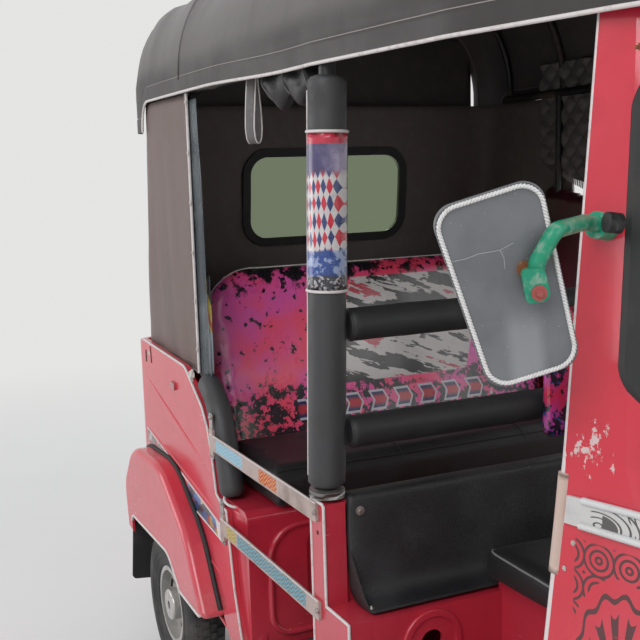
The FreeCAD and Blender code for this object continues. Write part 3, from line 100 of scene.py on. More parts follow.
class Finish:
    """A material with its own node tree; node() adds any shader node and links what it is given."""

    def __init__(self, name, shader):
        self.material = bpy.data.materials.new(name)
        self.material.use_nodes = True
        self.tree = self.material.node_tree
        self.shader = self.tree.nodes["Principled BSDF"]
        self.height = None
        for socket, value in shader.items():
            self.put(socket, value)
        self.where = self.node("ShaderNodeTexCoord", {}, {}, "Object")
        self.x, self.y, self.z = self.split(self.where)

    def node(self, kind, settings, values, output=0):
        """Adds a node: its settings first, then the value or link of each named socket."""
        made = self.tree.nodes.new(kind)
        for key, value in settings.items():
            setattr(made, key, value)
        for key, value in values.items():
            if isinstance(value, Signal):
                self.tree.links.new(value.socket, made.inputs[key])
            elif isinstance(value, (tuple, Vector)) and made.inputs[key].type == "RGBA":
                made.inputs[key].default_value = (*value, 1)
            else:
                made.inputs[key].default_value = value
        return Signal(self, made.outputs[output])

    def put(self, socket, value):
        """Sets or links one socket of the surface shader."""
        if isinstance(value, Signal):
            self.tree.links.new(value.socket, self.shader.inputs[socket])
        elif isinstance(value, tuple):
            self.shader.inputs[socket].default_value = (*value, 1)
        else:
            self.shader.inputs[socket].default_value = value

    def split(self, vector):
        node = self.node("ShaderNodeSeparateXYZ", {}, {0: vector}).socket.node
        return [Signal(self, output) for output in node.outputs]

    def join(self, x, y, z=0.0):
        return self.node("ShaderNodeCombineXYZ", {}, {0: x, 1: y, 2: z})

    def stretched(self, x, y, z):
        return self.node("ShaderNodeVectorMath", {"operation": "MULTIPLY"}, {0: self.where, 1: (x, y, z)})

    def noise(self, scale, detail=3.0, rough=0.55, where=None):
        return self.node("ShaderNodeTexNoise", {}, {"Vector": where or self.where, "Scale": scale,
                                                    "Detail": detail, "Roughness": rough})

    def cells(self, scale, where=None, output="Distance", scatter=1.0):
        return self.node("ShaderNodeTexVoronoi", {},
                         {"Vector": where or self.where, "Scale": scale, "Randomness": scatter}, output)

    def ramp(self, value, low, high, to_low=0.0, to_high=1.0):
        """A smooth step from to_low to to_high as the value goes from low to high."""
        return self.node("ShaderNodeMapRange", {"interpolation_type": "SMOOTHSTEP"},
                         {0: value, 1: low, 2: high, 3: to_low, 4: to_high})

    def patches(self, grain, *steps):
        """A smooth step of plain noise."""
        return self.ramp(self.noise(*grain), *steps)

    def band(self, value, middle, half, soft):
        """1 within half of the middle, fading to 0 over soft."""
        return self.ramp(abs(value - middle), half, half + soft, 1.0, 0.0)

    def mix(self, factor, a, b):
        return self.node("ShaderNodeMix", {"data_type": "RGBA"}, {0: factor, 6: a, 7: b}, 2)

    def bump(self, height, depth, strength=1.0):
        """Adds a relief of the given depth in metres on top of the ones before it."""
        values = {"Height": height, "Distance": depth, "Strength": strength}
        if self.height:
            values["Normal"] = self.height
        self.height = self.node("ShaderNodeBump", {}, values)
        self.put("Normal", self.height)

    def grain(self, grain, depth, strength):
        self.bump(self.noise(*grain), depth, strength)


def red_paint(name, fresh, faded, dust_top, wear):
    """Sprayed gloss red with sun fade, orange peel, dust below dust_top and short scratches."""
    paint = Finish(name, {"Coat Roughness": 0.10, "Specular IOR Level": 0.5})
    fade = paint.patches((2.3, 4.0), 0.38, 0.70)
    colour = paint.mix(fade, fresh, faded)
    colour = paint.mix(paint.patches((19.0, 5.0), 0.45, 0.8, 0.0, 0.25), colour, DEEP_RED)
    grime = paint.noise(7.0, 6.0, 0.65) * paint.ramp(paint.z, dust_top - 0.45, dust_top, 1.0, 0.0)
    dust = paint.ramp(grime, 0.32, 0.64, 0.0, 0.5)
    colour = paint.mix(dust, colour, DUST)
    level = paint.noise(1.0, 2.0, 0.5, paint.stretched(16.0, 30.0, 330.0))
    leaning = paint.noise(1.0, 2.0, 0.5, paint.stretched(150.0, 30.0, 60.0))
    patch = paint.patches((4.3, 2.0), 0.56, 0.66)
    scratch = (paint.ramp(level, 0.70, 0.73) + paint.ramp(leaning, 0.74, 0.78)) * patch * wear
    colour = paint.mix(scratch, colour, PRIMER)
    paint.tone = colour
    paint.put("Base Color", colour)
    paint.put("Roughness", paint.ramp(dust, 0.0, 0.5, 0.24, 0.60) + scratch * 0.2)
    paint.put("Coat Weight", paint.ramp(dust, 0.0, 0.4, 0.40, 0.05))
    paint.grain((420.0, 2.0), 0.0004, 0.10)
    paint.grain((6.0, 2.0), 0.004, 0.16)
    return paint


BODY_RED = red_paint("body_red", FRESH_RED, FADED_RED, 0.62, 0.6).material
CABIN_RED = red_paint("cabin_red", CABIN_FRESH, CABIN_FADED, 0.45, 0.35).material


def dress(material, *names):
    """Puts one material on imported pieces."""
    for name in names:
        slots = nodes[name].data.materials
        slots.clear()
        slots.append(material)


dress(BODY_RED, "side_panel_right", "side_panel_left", "rear_panel", "engine_door", "front_mudguard", "fenders")
dress(CABIN_RED, "partition", "seat_box", "bench_base")

# Plain finishes for the working parts: satin black chassis paint with road dirt, bare and
# rusted steel, cast alloy, rubber, glass and lamp lenses.


def grimy(name, colour, rough, metal=0.0, dirt=(0.16, 0.12, 0.09), scale=14.0, amount=0.5, grain=22.0):
    """A plain coat under patchy dirt, with a fine grain."""
    coat = Finish(name, {"Specular IOR Level": 0.45})
    patches = coat.patches((scale, 6.0, 0.65), 0.48, 0.70, 0.0, amount)
    coat.put("Base Color", coat.mix(patches, colour, dirt))
    coat.put("Roughness", coat.ramp(patches, 0.0, amount, rough, 0.8))
    if metal:
        coat.put("Metallic", coat.ramp(patches, 0.0, amount, metal, 0.1))
    coat.grain((scale * grain, 3.0), 0.0006, 0.25)
    return coat.material


BLACK_PAINT = grimy("chassis_black", (0.012, 0.012, 0.013), 0.42)
STEEL = grimy("dull_steel", (0.42, 0.41, 0.40), 0.38, 0.9, (0.20, 0.10, 0.05), 22.0, 0.6)
RUBBER = grimy("black_rubber", (0.018, 0.018, 0.019), 0.62, 0.0, (0.10, 0.09, 0.08), 9.0, 0.35)
CHROME = grimy("worn_chrome", (0.62, 0.62, 0.61), 0.18, 0.95, (0.22, 0.17, 0.12), 30.0, 0.45)
RUST = grimy("rusted_steel", (0.23, 0.085, 0.035), 0.75, 0.3, (0.42, 0.30, 0.16), 90.0, 0.6)


def clear_glass(name, tint, low, high):
    """Clear sheet under a film of dust, drawn as a thin pane."""
    pane = Finish(name, {"Transmission Weight": 1.0, "IOR": 1.10})
    pane.put("Roughness", pane.patches((6.0, 5.0), 0.35, 0.8, low, high))
    pane.put("Base Color", pane.mix(pane.ramp(pane.x, -0.5, 0.0), (0.20, 0.24, 0.16), tint))
    return pane.material


def lens(name, colour):
    """A moulded lamp cover with fine prisms."""
    cover = Finish(name, {"Coat Weight": 0.6, "Specular IOR Level": 0.6})
    ribs = cover.ramp(cover.cells(160.0, scatter=0.0), 0.1, 0.6)
    cover.put("Base Color", cover.mix(ribs * 0.35, colour, tuple(c * 0.4 for c in colour)))
    cover.put("Roughness", 0.08 + cover.noise(30.0, 3.0) * 0.15)
    cover.bump(ribs, 0.001, 0.5)
    return cover.material


dress(BLACK_PAINT, "chassis_frame", "floor_pan", "roof_frame", "rear_arms", "rear_bumper", "front_fork")
dress(STEEL, "exhaust", "rear_dampers", "drive_shafts")
dress(grimy("dirty_casting", (0.10, 0.10, 0.10), 0.55, 0.5), "engine_block")
dress(RUBBER, "window_seals", "mudflaps")
dress(grimy("dash_plastic", (0.022, 0.022, 0.024), 0.5, 0.0, (0.06, 0.055, 0.05), 11.0, 0.35), "dashboard", "handlebar")
dress(clear_glass("window_glass", (0.62, 0.68, 0.62), 0.03, 0.16), "window_glass")
dress(lens("headlamp_lens", (0.75, 0.76, 0.74)), "headlamp")
dress(lens("amber_lens", (0.75, 0.22, 0.02)), "signal_lamps")
GREEN = grimy("green_paint", (0.012, 0.27, 0.15), 0.30, 0.0, (0.40, 0.46, 0.41), 70.0, 0.55)
dress(GREEN, "mirror_arms")

# Hood roof: one coated cloth, stretched over four steel bows and nailed along the rails. Its
# lower edge is turned up in a stitched hem with white piping, and the cloth drops at the rear
# corners to meet the closing flap behind.

HOOD_EDGE = 1.537
HOOD_CORNER_EDGE = 1.471
CORNER_START = -1.020
CORNER_END = -1.086
HEM_DEPTH = 0.038
BOW_PLACES = (0.78, 0.1775, -0.3225, -0.7525, -1.0075, -1.20)
TOP_SAG = 0.010
SIDE_SAG = 0.006
CLOTH_WALL = 0.0014


def hood_cloth(name, colour, pale, sky_sheen_height=1.66, shine=0.42, hem=0.0):
    """Grey-brown coated cloth: fine grain, a top painted paler as a painted sky reflection, a hem band painted darker
    as painted shade, dust and rubbed streaks.
    """
    cloth = Finish(name, {"Specular IOR Level": shine, "Sheen Weight": 0.10, "Sheen Roughness": 0.45})
    worn = cloth.patches((3.5, 6.0, 0.6), 0.38, 0.72, 0.0, 0.5)
    # Painted highlight: the cloth is painted paler towards its top, as a painted sky reflection; worn adds paler dusty
    # patches to it.
    high = cloth.ramp(cloth.z, sky_sheen_height - 0.08, sky_sheen_height + 0.12, 0.0, 0.8)
    tone = cloth.mix(worn * 0.5 + high, colour, pale)
    streak = cloth.noise(1.0, 4.0, 0.6, cloth.stretched(9.0, 9.0, 1.6))
    tone = cloth.mix(cloth.ramp(streak, 0.50, 0.78, 0.0, 0.40), tone, tuple(c * 0.55 for c in colour))
    # Painted shade: the hem band below the fold is painted darker, by the hem amount, for the shade on the cloth's
    # lower curve.
    tone = cloth.mix(cloth.ramp(cloth.z, 1.595, 1.645, hem, 0.0), tone, tuple(c * 0.25 for c in colour))
    cloth.put("Base Color", tone)
    cloth.put("Roughness", cloth.ramp(worn, 0.0, 0.5, 0.46, 0.62))
    cloth.grain((900.0, 2.0), 0.0004, 0.35)
    cloth.grain((26.0, 3.0), 0.0022, 0.30)
    return cloth.material


# The hood gets the painted shade on its hem band and the painted sky reflection on its top.
HOOD_CLOTH = hood_cloth("hood_cloth", (0.072, 0.060, 0.058), (0.185, 0.170, 0.172), hem=0.85)
CURTAIN_CLOTH = hood_cloth("curtain_cloth", (0.138, 0.094, 0.084), (0.20, 0.150, 0.138), 1.9, 0.26)
LINING = grimy("dark_lining", (0.070, 0.062, 0.060), 0.7, 0.0, (0.11, 0.095, 0.088), 20.0, 0.5, 40.0)
PIPING = grimy("white_piping", (0.68, 0.63, 0.62), 0.45, 0.0, (0.40, 0.33, 0.30), 60.0, 0.5)
THREAD = grimy("thread", (0.34, 0.29, 0.27), 0.8, 0.0, (0.2, 0.17, 0.16), 200.0, 0.4)


def surface(piece):
    """A piece's faces, for finding places on them."""
    return BVHTree.FromPolygons([v.co for v in piece.data.vertices], [p.vertices for p in piece.data.polygons])


def skin(node):
    return surface(nodes[node])


def centre_of(node):
    low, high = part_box(node)
    return (low + high) / 2


def lattice(rows, closed=False):
    """Points and faces of a sheet given as rows of points; closed joins the ends of each row."""
    wide = len(rows[0])
    faces = []
    for j in range(len(rows) - 1):
        for i in range(wide if closed else wide - 1):
            a, b = j * wide + i, j * wide + (i + 1) % wide
            faces.append((a, b, b + wide, a + wide))
    return [p for row in rows for p in row], faces


def capped(rows):
    """Points and faces of a closed tube with both its ends filled."""
    wide = len(rows[0])
    points, faces = lattice(rows, closed=True)
    return points, faces + [tuple(range(wide)), tuple(range(len(points) - wide, len(points)))]


def build(name, points, faces, material, slot, body="chassis", smooth=True):
    """A piece from points and faces, riding on a body."""
    mesh = bpy.data.meshes.new(name)
    mesh.from_pydata([tuple(p) for p in points], [], faces)
    mesh.update()
    for face in mesh.polygons:
        face.use_smooth = smooth
    mesh.materials.append(material)
    piece = bpy.data.objects.new(name, mesh)
    bpy.context.scene.collection.objects.link(piece)
    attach(piece, body)
    return piece


def settle(piece):
    """Turns the piece's modifiers into plain mesh."""
    graph = bpy.context.evaluated_depsgraph_get()
    graph.update()
    mesh = bpy.data.meshes.new_from_object(piece.evaluated_get(graph))
    piece.modifiers.clear()
    piece.data = mesh
    return piece


def outward(piece):
    """Turns every face of a closed piece outwards."""
    work = bmesh.new()
    work.from_mesh(piece.data)
    bmesh.ops.remove_doubles(work, verts=work.verts, dist=1e-6)
    bmesh.ops.recalc_face_normals(work, faces=work.faces)
    work.to_mesh(piece.data)
    work.free()
    return piece


def thicken(piece, wall, back=None):
    """Gives an open sheet a wall: inwards when it is lined with a back material, else both ways."""
    if back:
        piece.data.materials.append(back)
    solid = piece.modifiers.new("wall", "SOLIDIFY")
    solid.thickness = wall
    solid.offset = -1.0 if back else 0.0
    solid.use_even_offset = False
    if back:
        solid.material_offset = 1
        solid.material_offset_rim = 0
    return settle(piece)


def facing(piece, way, where=lambda spot: True):
    """Flips an open sheet if its faces, taken together, look away from a direction."""
    if sum(face.normal.dot(way) * face.area for face in piece.data.polygons if where(face.center)) < 0:
        piece.data.flip_normals()


def walk(path, distances):
    """Points at the given distances along a path."""
    found = []
    step, start = 0, 0.0
    for distance in distances:
        while step < len(path) - 2 and start + (path[step + 1] - path[step]).length < distance:
            start += (path[step + 1] - path[step]).length
            step += 1
        span = (path[step + 1] - path[step]).length or 1e-9
        found.append(path[step].lerp(path[step + 1], (distance - start) / span))
    return found


def span_of(path):
    return sum((b - a).length for a, b in zip(path, path[1:]))


def spread(path, count):
    """A path's points again, at even steps."""
    total = span_of(path)
    return walk(path, [total * i / (count - 1) for i in range(count)])


def mirrored(path):
    return [at(p.x, -p.y, p.z) for p in path]


def both_sides(*paths):
    """Paths on the right side, and their mirror images on the left."""
    return list(paths) + [mirrored(path) for path in paths]


def on_side(path, side):
    """A right-hand path for side -1, its mirror image for side 1."""
    return mirrored(path) if side > 0 else path


def ease(value, low, high):
    """A smooth step from 0 to 1 as the value goes from low to high."""
    share = min(1.0, max(0.0, (value - low) / (high - low)))
    return share * share * (3 - 2 * share)


def hood_edge(x):
    """Height of the hood's lower edge: a quarter round at the corner, then straight down."""
    share = min(1.0, max(0.0, (x - CORNER_END) / (CORNER_START - CORNER_END)))
    return HOOD_CORNER_EDGE + (HOOD_EDGE + 0.012 * ease(x, -0.1, -0.6) - HOOD_CORNER_EDGE) * sqrt(
        1 - (1 - share) ** 2.4)


HOOD = skin("hood_roof")
hood_low, hood_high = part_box("hood_roof")


def hood_outline(x):
    """The hood's outside at x, from the right lower edge over the top to the left one."""
    centre = at(x, 0, hood_edge(x))
    path = []
    for i in range(181):
        angle = pi * (1 + i / 180)
        out = at(0, cos(angle), -sin(angle))
        hit = HOOD.ray_cast(centre + out * 2, -out)[0]
        if hit and (hit - centre).length > 0.3 * abs(out.y) and hit.z > centre.z - 0.01:
            path.append(hit)
    return path


def sag(x, point):
    """How far the cloth lies inside its bows' line at a point."""
    for front, rear in zip(BOW_PLACES, BOW_PLACES[1:]):
        if rear <= x <= front:
            share = sin(pi * ((x - rear) / (front - rear)) ** 0.5) ** 2
            top = ease(point.z, 1.68, 1.80)
            return share * (SIDE_SAG + (TOP_SAG - SIDE_SAG) * top) * ease(point.z, 1.575, 1.64)
    return 0.0


def hood_roof():
    edge_steps = [0, 0.0015, 0.010, 0.020, 0.030, HEM_DEPTH - 0.003, HEM_DEPTH, HEM_DEPTH + 0.003, 0.052, 0.066]
    corner = [CORNER_END + (CORNER_START - CORNER_END) * (i / 14) ** 1.5 for i in range(15)]
    rear = [hood_low.x + 0.003 + (CORNER_END - 0.004 - hood_low.x - 0.003) * i / 9 for i in range(10)]
    count = 118
    step = (hood_high.x - 0.002 - CORNER_START) / count
    stations = rear + corner + [CORNER_START + step * i for i in range(1, count + 1)]
    rows, hems, edges = [], [], []
    for x in stations:
        outline = hood_outline(x)
        total = span_of(outline)
        middle = [0.066 + (total - 0.132) * i / 56 for i in range(1, 56)]
        distances = edge_steps + middle + [total - d for d in reversed(edge_steps)]
        row = []
        for point, distance in zip(walk(outline, distances), distances):
            out = at(0, point.y, max(0.0, point.z - 1.56) * 1.6).normalized()
            near = min(distance, total - distance)
            inside = sag(x, point) + 0.0016
            inside += 0.0022 * (0.5 + 0.5 * noise.noise(at(x * 3.1, point.y * 3, point.z * 5)))
            inside += 0.0014 * (0.5 + 0.5 * noise.noise(at(x * 22, point.z * 4, 3))) * ease(near, 0.16, 0.05)
            if near < HEM_DEPTH - 0.001:
                inside -= 0.0010
            elif near < HEM_DEPTH + 0.001:
                inside += 0.0016
            row.append(point - out * inside)
        rows.append(row)
        hems.append((row[6], row[-7]))
        edges.append((row[0], row[-1]))
    cloth = build("hood_cloth", *lattice(rows), HOOD_CLOTH, "hood_cloth")
    facing(cloth, at(0, 0, 1))
    thicken(cloth, CLOTH_WALL, LINING)
    return cloth, stations, rows, hems, edges


hood, hood_stations, hood_rows, hood_hems, hood_edges = hood_roof()


class Growth:
    """A Geometry Nodes tree with named inputs; grow() runs it once and keeps the plain mesh."""

    def __init__(self, name, **inputs):
        self.group = bpy.data.node_groups.new(name, "GeometryNodeTree")
        face = self.group.interface
        face.new_socket("Geometry", in_out="INPUT", socket_type="NodeSocketGeometry")
        self.sockets = {label: face.new_socket(label, in_out="INPUT", socket_type="NodeSocket" + kind).identifier
                        for label, kind in {**inputs, "Material": "Material"}.items()}
        face.new_socket("Geometry", in_out="OUTPUT", socket_type="NodeSocketGeometry")
        self.entry = self.group.nodes.new("NodeGroupInput")
        self.exit = self.group.nodes.new("NodeGroupOutput")

    def given(self, label):
        return self.entry.outputs[label]

    def node(self, kind, settings, values, output=0):
        """Adds a node: its settings first, then the value or link of each socket."""
        made = self.group.nodes.new(kind)
        for key, value in settings.items():
            setattr(made, key, value)
        for key, value in values.items():
            if isinstance(value, bpy.types.NodeSocket):
                self.group.links.new(value, made.inputs[key])
            else:
                made.inputs[key].default_value = value
        return made.outputs[output]

    def close(self, geometry):
        """Ends the tree: instances made real and given their material."""
        solid = self.node("GeometryNodeRealizeInstances", {}, {"Geometry": geometry})
        coated = self.node("GeometryNodeSetMaterial", {}, {"Geometry": solid, "Material": self.given("Material")})
        self.group.links.new(coated, self.exit.inputs[0])
        return self

    def grow(self, name, paths, slot, body="chassis", **values):
        """Runs the tree on edges along the paths, and leaves a piece that rides on the body."""
        mesh = bpy.data.meshes.new(name)
        points, edges = [], []
        for path in paths:
            edges += [(len(points) + i, len(points) + i + 1) for i in range(len(path) - 1)]
            points += [tuple(p) for p in path]
        mesh.from_pydata(points, edges, [])
        piece = bpy.data.objects.new(name, mesh)
        bpy.context.scene.collection.objects.link(piece)
        modifier = piece.modifiers.new("grown", "NODES")
        modifier.node_group = self.group
        for label, value in values.items():
            modifier[self.sockets[label]] = value
        settle(piece)
        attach(piece, body)
        return piece


def beading():
    """A round bead along each path."""
    tree = Growth("beading", Radius="Float", Sides="Int")
    line = tree.node("GeometryNodeMeshToCurve", {}, {"Mesh": tree.given("Geometry")})
    ring = tree.node("GeometryNodeCurvePrimitiveCircle", {"mode": "RADIUS"},
                     {"Resolution": tree.given("Sides"), "Radius": tree.given("Radius")})
    bead = tree.node("GeometryNodeCurveToMesh", {}, {"Curve": line, "Profile Curve": ring, "Fill Caps": True})
    return tree.close(tree.node("GeometryNodeSetShadeSmooth", {}, {"Geometry": bead}))


def stitching():
    """Short round stitches in line along each path."""
    tree = Growth("stitching", Pitch="Float", Length="Float", Radius="Float")
    line = tree.node("GeometryNodeMeshToCurve", {}, {"Mesh": tree.given("Geometry")})
    spots = tree.node("GeometryNodeCurveToPoints", {"mode": "LENGTH"}, {"Curve": line, "Length": tree.given("Pitch")})
    ahead = tree.node("FunctionNodeAlignRotationToVector", {"axis": "Z"}, {"Vector": spots.node.outputs["Tangent"]})
    bar = tree.node("GeometryNodeMeshCylinder", {}, {"Vertices": 6, "Radius": tree.given("Radius"),
                                                     "Depth": tree.given("Length")})
    return tree.close(tree.node("GeometryNodeInstanceOnPoints", {},
                                {"Points": spots, "Instance": bar, "Rotation": ahead}))


BEADING = beading()
STITCHING = stitching()


def bead(name, paths, radius, material, slot="trim", body="chassis", sides=8):
    return BEADING.grow(name, paths, slot, body, Radius=radius, Sides=sides, Material=material)


def stitches(name, paths, pitch=0.009, length=0.006, radius=0.0006):
    return STITCHING.grow(name, paths, "hood_cloth", Pitch=pitch, Length=length, Radius=radius, Material=THREAD)


def closing_flap():
    """The rear flap: flat cloth from the roof's rear edge down to the corner edge's height."""
    outline = hood_rows[0]
    half = abs(outline[0].y) - 0.012
    rows = []
    for i in range(49):
        y = half * (i / 24 - 1)
        top = HOOD.ray_cast(at(hood_low.x + 0.006, y, 3), at(0, 0, -1))[0].z - 0.004
        column = []
        for j in range(19):
            z = HOOD_CORNER_EDGE + (top - HOOD_CORNER_EDGE) * j / 18
            hit = HOOD.ray_cast(at(-3, y, z), at(1, 0, 0))[0]
            x = hit.x if hit and hit.x < hood_low.x + 0.05 else hood_low.x + 0.004
            x += 0.0025 + 0.003 * (0.5 + 0.5 * noise.noise(at(y * 4, z * 5, 9)))
            column.append(at(x, y, z))
        rows.append(column)
    flap = build("hood_flap", *lattice(rows), HOOD_CLOTH, "hood_cloth")
    facing(flap, at(-1, 0, 0))
    thicken(flap, CLOTH_WALL, LINING)
    return flap, [row[0] for row in rows]


flap, flap_edge = closing_flap()
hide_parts("hood_roof")
corner_at = sum(1 for x in hood_stations if x < CORNER_END - 0.001)
lower_edges = [list(edge)[corner_at:] for edge in zip(*hood_edges)]
bead("hood_piping", lower_edges + [flap_edge], 0.0034, PIPING, "hood_cloth")
bead("hood_rear_seam", [hood_rows[1]], 0.0030, HOOD_CLOTH, "hood_cloth")
# Painted highlight: the bead along the hem's fold is coloured far paler than the cloth, for the light caught along the
# fold.
FOLD_HIGHLIGHT = grimy("hem_fold_highlight", (0.30, 0.26, 0.25), 0.6, 0.0, (0.2, 0.17, 0.16), 200.0, 0.4)
hem_lines = list(zip(*hood_hems))
bead("hood_hem_fold", hem_lines, 0.0012, FOLD_HIGHLIGHT, "hood_cloth", sides=6)
# Real stitches; their pale thread here also stands in for the painted highlight along the hem crease.
stitches("hood_hem_stitches", [[p - at(0, 0, 0.004) for p in line] for line in hem_lines])
bow_seam = min(range(len(hood_stations)), key=lambda i: abs(hood_stations[i] + 0.748))
bead("hood_bow_seam", [hood_rows[bow_seam][4:-4]], 0.0022, HOOD_CLOTH, "hood_cloth")
bead("hood_front_piping", [[p + at(0.001, 0, 0.001) for p in hood_rows[-1]]], 0.0034, PIPING, "hood_cloth")

# Rear curtain: one sheet laced round the back of the cabin, from the right side over the
# rear to the left, with the rear window sewn in. Its front edges are bound in white and its
# lower edge hangs over the panels, tied down with rags.

CURTAIN = skin("hood_curtain")
curtain_low, curtain_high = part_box("hood_curtain")
CURTAIN_FRONT = curtain_high.x - 0.0006
CURTAIN_LINING = grimy("curtain_lining", (0.135, 0.115, 0.108), 0.75, 0.0, (0.18, 0.155, 0.145), 26.0, 0.5, 40.0)


def curtain_path(z):
    """The curtain's outside at a height, from its right front edge round the back to its left one."""
    path = []
    for i in range(24):
        x = CURTAIN_FRONT + (-1.03 - CURTAIN_FRONT) * i / 23
        hit = CURTAIN.ray_cast(at(x, -2, z), at(0, 1, 0))[0]
        if hit:
            path.append(hit)
    for i in range(61):
        angle = radians(-92 - 176 * i / 60)
        out = at(cos(angle), sin(angle), 0)
        hit = CURTAIN.ray_cast(at(-1.04, 0, z) + out * 2, -out)[0]
        if hit and hit.x < path[23].x - 0.004:
            path.append(hit)
    return path + mirrored(reversed(path[:24]))


def rear_curtain():
    rows = []
    levels = 34
    for j in range(levels + 1):
        z = curtain_low.z + 0.004 + (curtain_high.z - curtain_low.z - 0.008) * j / levels
        row = []
        for point in spread(curtain_path(z), 133):
            middle = at(max(point.x, -1.10), point.y * 0.5, point.z)
            inwards = (middle - point).normalized() if point.x < -1.10 else at(0, -copysign(1, point.y), 0)
            along = point.x + abs(point.y) * 0.7
            fold = noise.noise(at(along * 11, z * 1.6, point.y * 2)) * 0.5 + 0.5
            ripple = noise.noise(at(along * 34, z * 4.5, 7 + point.y)) * 0.5 + 0.5
            pull = ease(z, curtain_low.z + 0.16, curtain_low.z) * (0.5 + 0.5 * sin(along * 46))
            flat = 1 - ease(0.33 - abs(point.y), 0.0, 0.05) * ease(1.10 - abs(z - 1.28) - 0.9, 0.0, 0.05) * (
                1.0 if point.x < -1.1 else 0.0)
            edge = ease(abs(point.x - CURTAIN_FRONT), 0.0, 0.03) if point.x > -1.0 else 1.0
            inside = 0.0012 + (0.0040 * fold + 0.0016 * ripple + 0.003 * pull) * flat * edge
            row.append(point + inwards * inside)
        rows.append(row)
    sheet = build("curtain_cloth", *lattice(rows), CURTAIN_CLOTH, "hood_cloth")
    facing(sheet, at(0, -1, 0), lambda spot: spot.y < -0.55)
    return thicken(sheet, CLOTH_WALL, CURTAIN_LINING), rows


curtain, curtain_rows = rear_curtain()


def rounded(corners, radii, steps=8):
    """A closed outline of straight runs and round corners; corners are 2-D points."""
    outline = []
    for i, (corner, radius) in enumerate(zip(corners, radii)):
        here = Vector(corner)
        before = (Vector(corners[i - 1]) - here).normalized()
        after = (Vector(corners[(i + 1) % len(corners)]) - here).normalized()
        half = before.angle(after) / 2
        reach = radius / tan(half)
        centre = here + (before + after).normalized() * (radius / sin(half))
        start, end = here + before * reach - centre, here + after * reach - centre
        for k in range(steps + 1):
            share = k / steps
            turned = start.lerp(end, share)
            outline.append(centre + (turned.normalized() * radius if turned.length > 1e-9 else turned))
    return outline


def rectangle(left, low, right, high):
    return [(left, low), (right, low), (right, high), (left, high)]


def prism(name, outline, place, material, slot, body="chassis"):
    """A closed prism: place(u, v, end) turns outline points into space, end 0 and 1."""
    count = len(outline)
    points = [place(u, v, end) for end in (0, 1) for u, v in outline]
    faces = [tuple(range(count)), tuple(range(2 * count - 1, count - 1, -1))]
    faces += [(i, i + count, (i + 1) % count + count, (i + 1) % count) for i in range(count)]
    return outward(build(name, points, faces, material, slot, body, False))


def slab(name, corners, radius, axis, near, far, material, slot, body="chassis"):
    """A plate with rounded corners, from one plane to another square to axis 0, 1 or 2."""
    def place(u, v, end):
        spot = [u, v]
        spot.insert(axis, near + (far - near) * end)
        return Vector(spot)
    return prism(name, rounded(corners, [radius] * len(corners)), place, material, slot, body)


WINDOW_HALF, WINDOW_BOTTOM, WINDOW_TOP, WINDOW_CORNER = 0.270, 1.141, 1.420, 0.074
tool = slab("cutter", rectangle(-WINDOW_HALF, WINDOW_BOTTOM, WINDOW_HALF, WINDOW_TOP), WINDOW_CORNER, 0, -1.5, -1.0,
            CURTAIN_CLOTH, "hood_cloth")
cutting = curtain.modifiers.new("window", "BOOLEAN")
cutting.object = tool
cutting.operation = "DIFFERENCE"
cutting.solver = "EXACT"
settle(curtain)
bpy.data.objects.remove(tool)
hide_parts("hood_curtain")
curtain_length = span_of(curtain_rows[0])

front_edges = [[row[0] for row in curtain_rows], [row[-1] for row in curtain_rows]]
bead("curtain_binding", front_edges, 0.0036, PIPING, "hood_cloth")
bead("curtain_hem", [curtain_rows[0]], 0.0030, CURTAIN_CLOTH, "hood_cloth")
seam_at = [min(range(len(row)), key=lambda i: abs(row[i].x + 0.752) + (9 if row[i].y > 0 else 0))
           for row in curtain_rows]
stitches("curtain_edge_stitches", [[row[i] + at(0, -0.0006, 0) for row, i in zip(curtain_rows, seam_at)]],
         pitch=0.010, length=0.0065)
stitches("curtain_hem_stitches", [[p + at(0, copysign(0.001, p.y), 0.018) for p in curtain_rows[0]]],
         pitch=0.010, length=0.0065)


def rag(name, middle, size, seed):
    """A knotted rag: a crumpled lump with two short tails."""
    work = bmesh.new()
    lumps = [(at(0, 0, 0), 1.0), (at(0.4, -0.1, -0.9), 0.62), (at(-0.5, 0.0, -0.6), 0.55), (at(0.3, 0.1, 0.7), 0.5)]
    for offset, share in lumps:
        made = bmesh.ops.create_icosphere(work, subdivisions=3, radius=size * share)
        for vertex in made["verts"]:
            crumple = noise.noise(vertex.co * (1.6 / size) + at(seed, offset.x * 5, 0))
            vertex.co = vertex.co * (1 + 0.45 * crumple)
            vertex.co.y *= 0.55
            vertex.co += offset * size + middle
    work.verts.index_update()
    faces = [[vertex.index for vertex in face.verts] for face in work.faces]
    build(name, [vertex.co for vertex in work.verts], faces, RAG, "hood_cloth")
    work.free()


RAG = grimy("white_rag", (0.60, 0.56, 0.52), 0.9, 0.0, (0.30, 0.25, 0.21), 70.0, 0.6)
for name, x, y, z, size, seed in (("rag_rear", -1.106, -0.585, 0.868, 0.011, 3.0),
                                  ("rag_front", -0.748, -0.583, 0.862, 0.013, 5.0),
                                  ("rag_rear_left", -1.106, 0.585, 0.868, 0.011, 8.0),
                                  ("rag_front_left", -0.748, 0.583, 0.862, 0.012, 6.0)):
    rag(name, at(x, y, z), size, seed)
knots = [row[0] + at(0.002, -0.003, 0) for row in curtain_rows[3::6]]
for index, spot in enumerate(knots):
    rag(f"lace_knot_{index}", spot, 0.0042, index * 2.3)

# Side strip: a clear vinyl flap sewn behind the curtain's front edge against wind, with a
# printed decal behind it near the bottom.

STRIP_TOP, STRIP_BOTTOM = 1.530, 0.862
CLEAR = Finish("clear_vinyl", {"Transmission Weight": 0.75, "IOR": 1.12, "Specular IOR Level": 0.9})
CLEAR.put("Base Color", CLEAR.mix(CLEAR.patches((5.0, 4.0), 0.4, 0.7),
                                              (0.30, 0.33, 0.36), (0.60, 0.64, 0.66)))
CLEAR.put("Roughness", CLEAR.patches((9.0, 4.0), 0.3, 0.7, 0.08, 0.30))
CLEAR.bump(CLEAR.noise(1.0, 3.0, 0.5, CLEAR.stretched(60.0, 60.0, 4.0)), 0.004, 0.5)

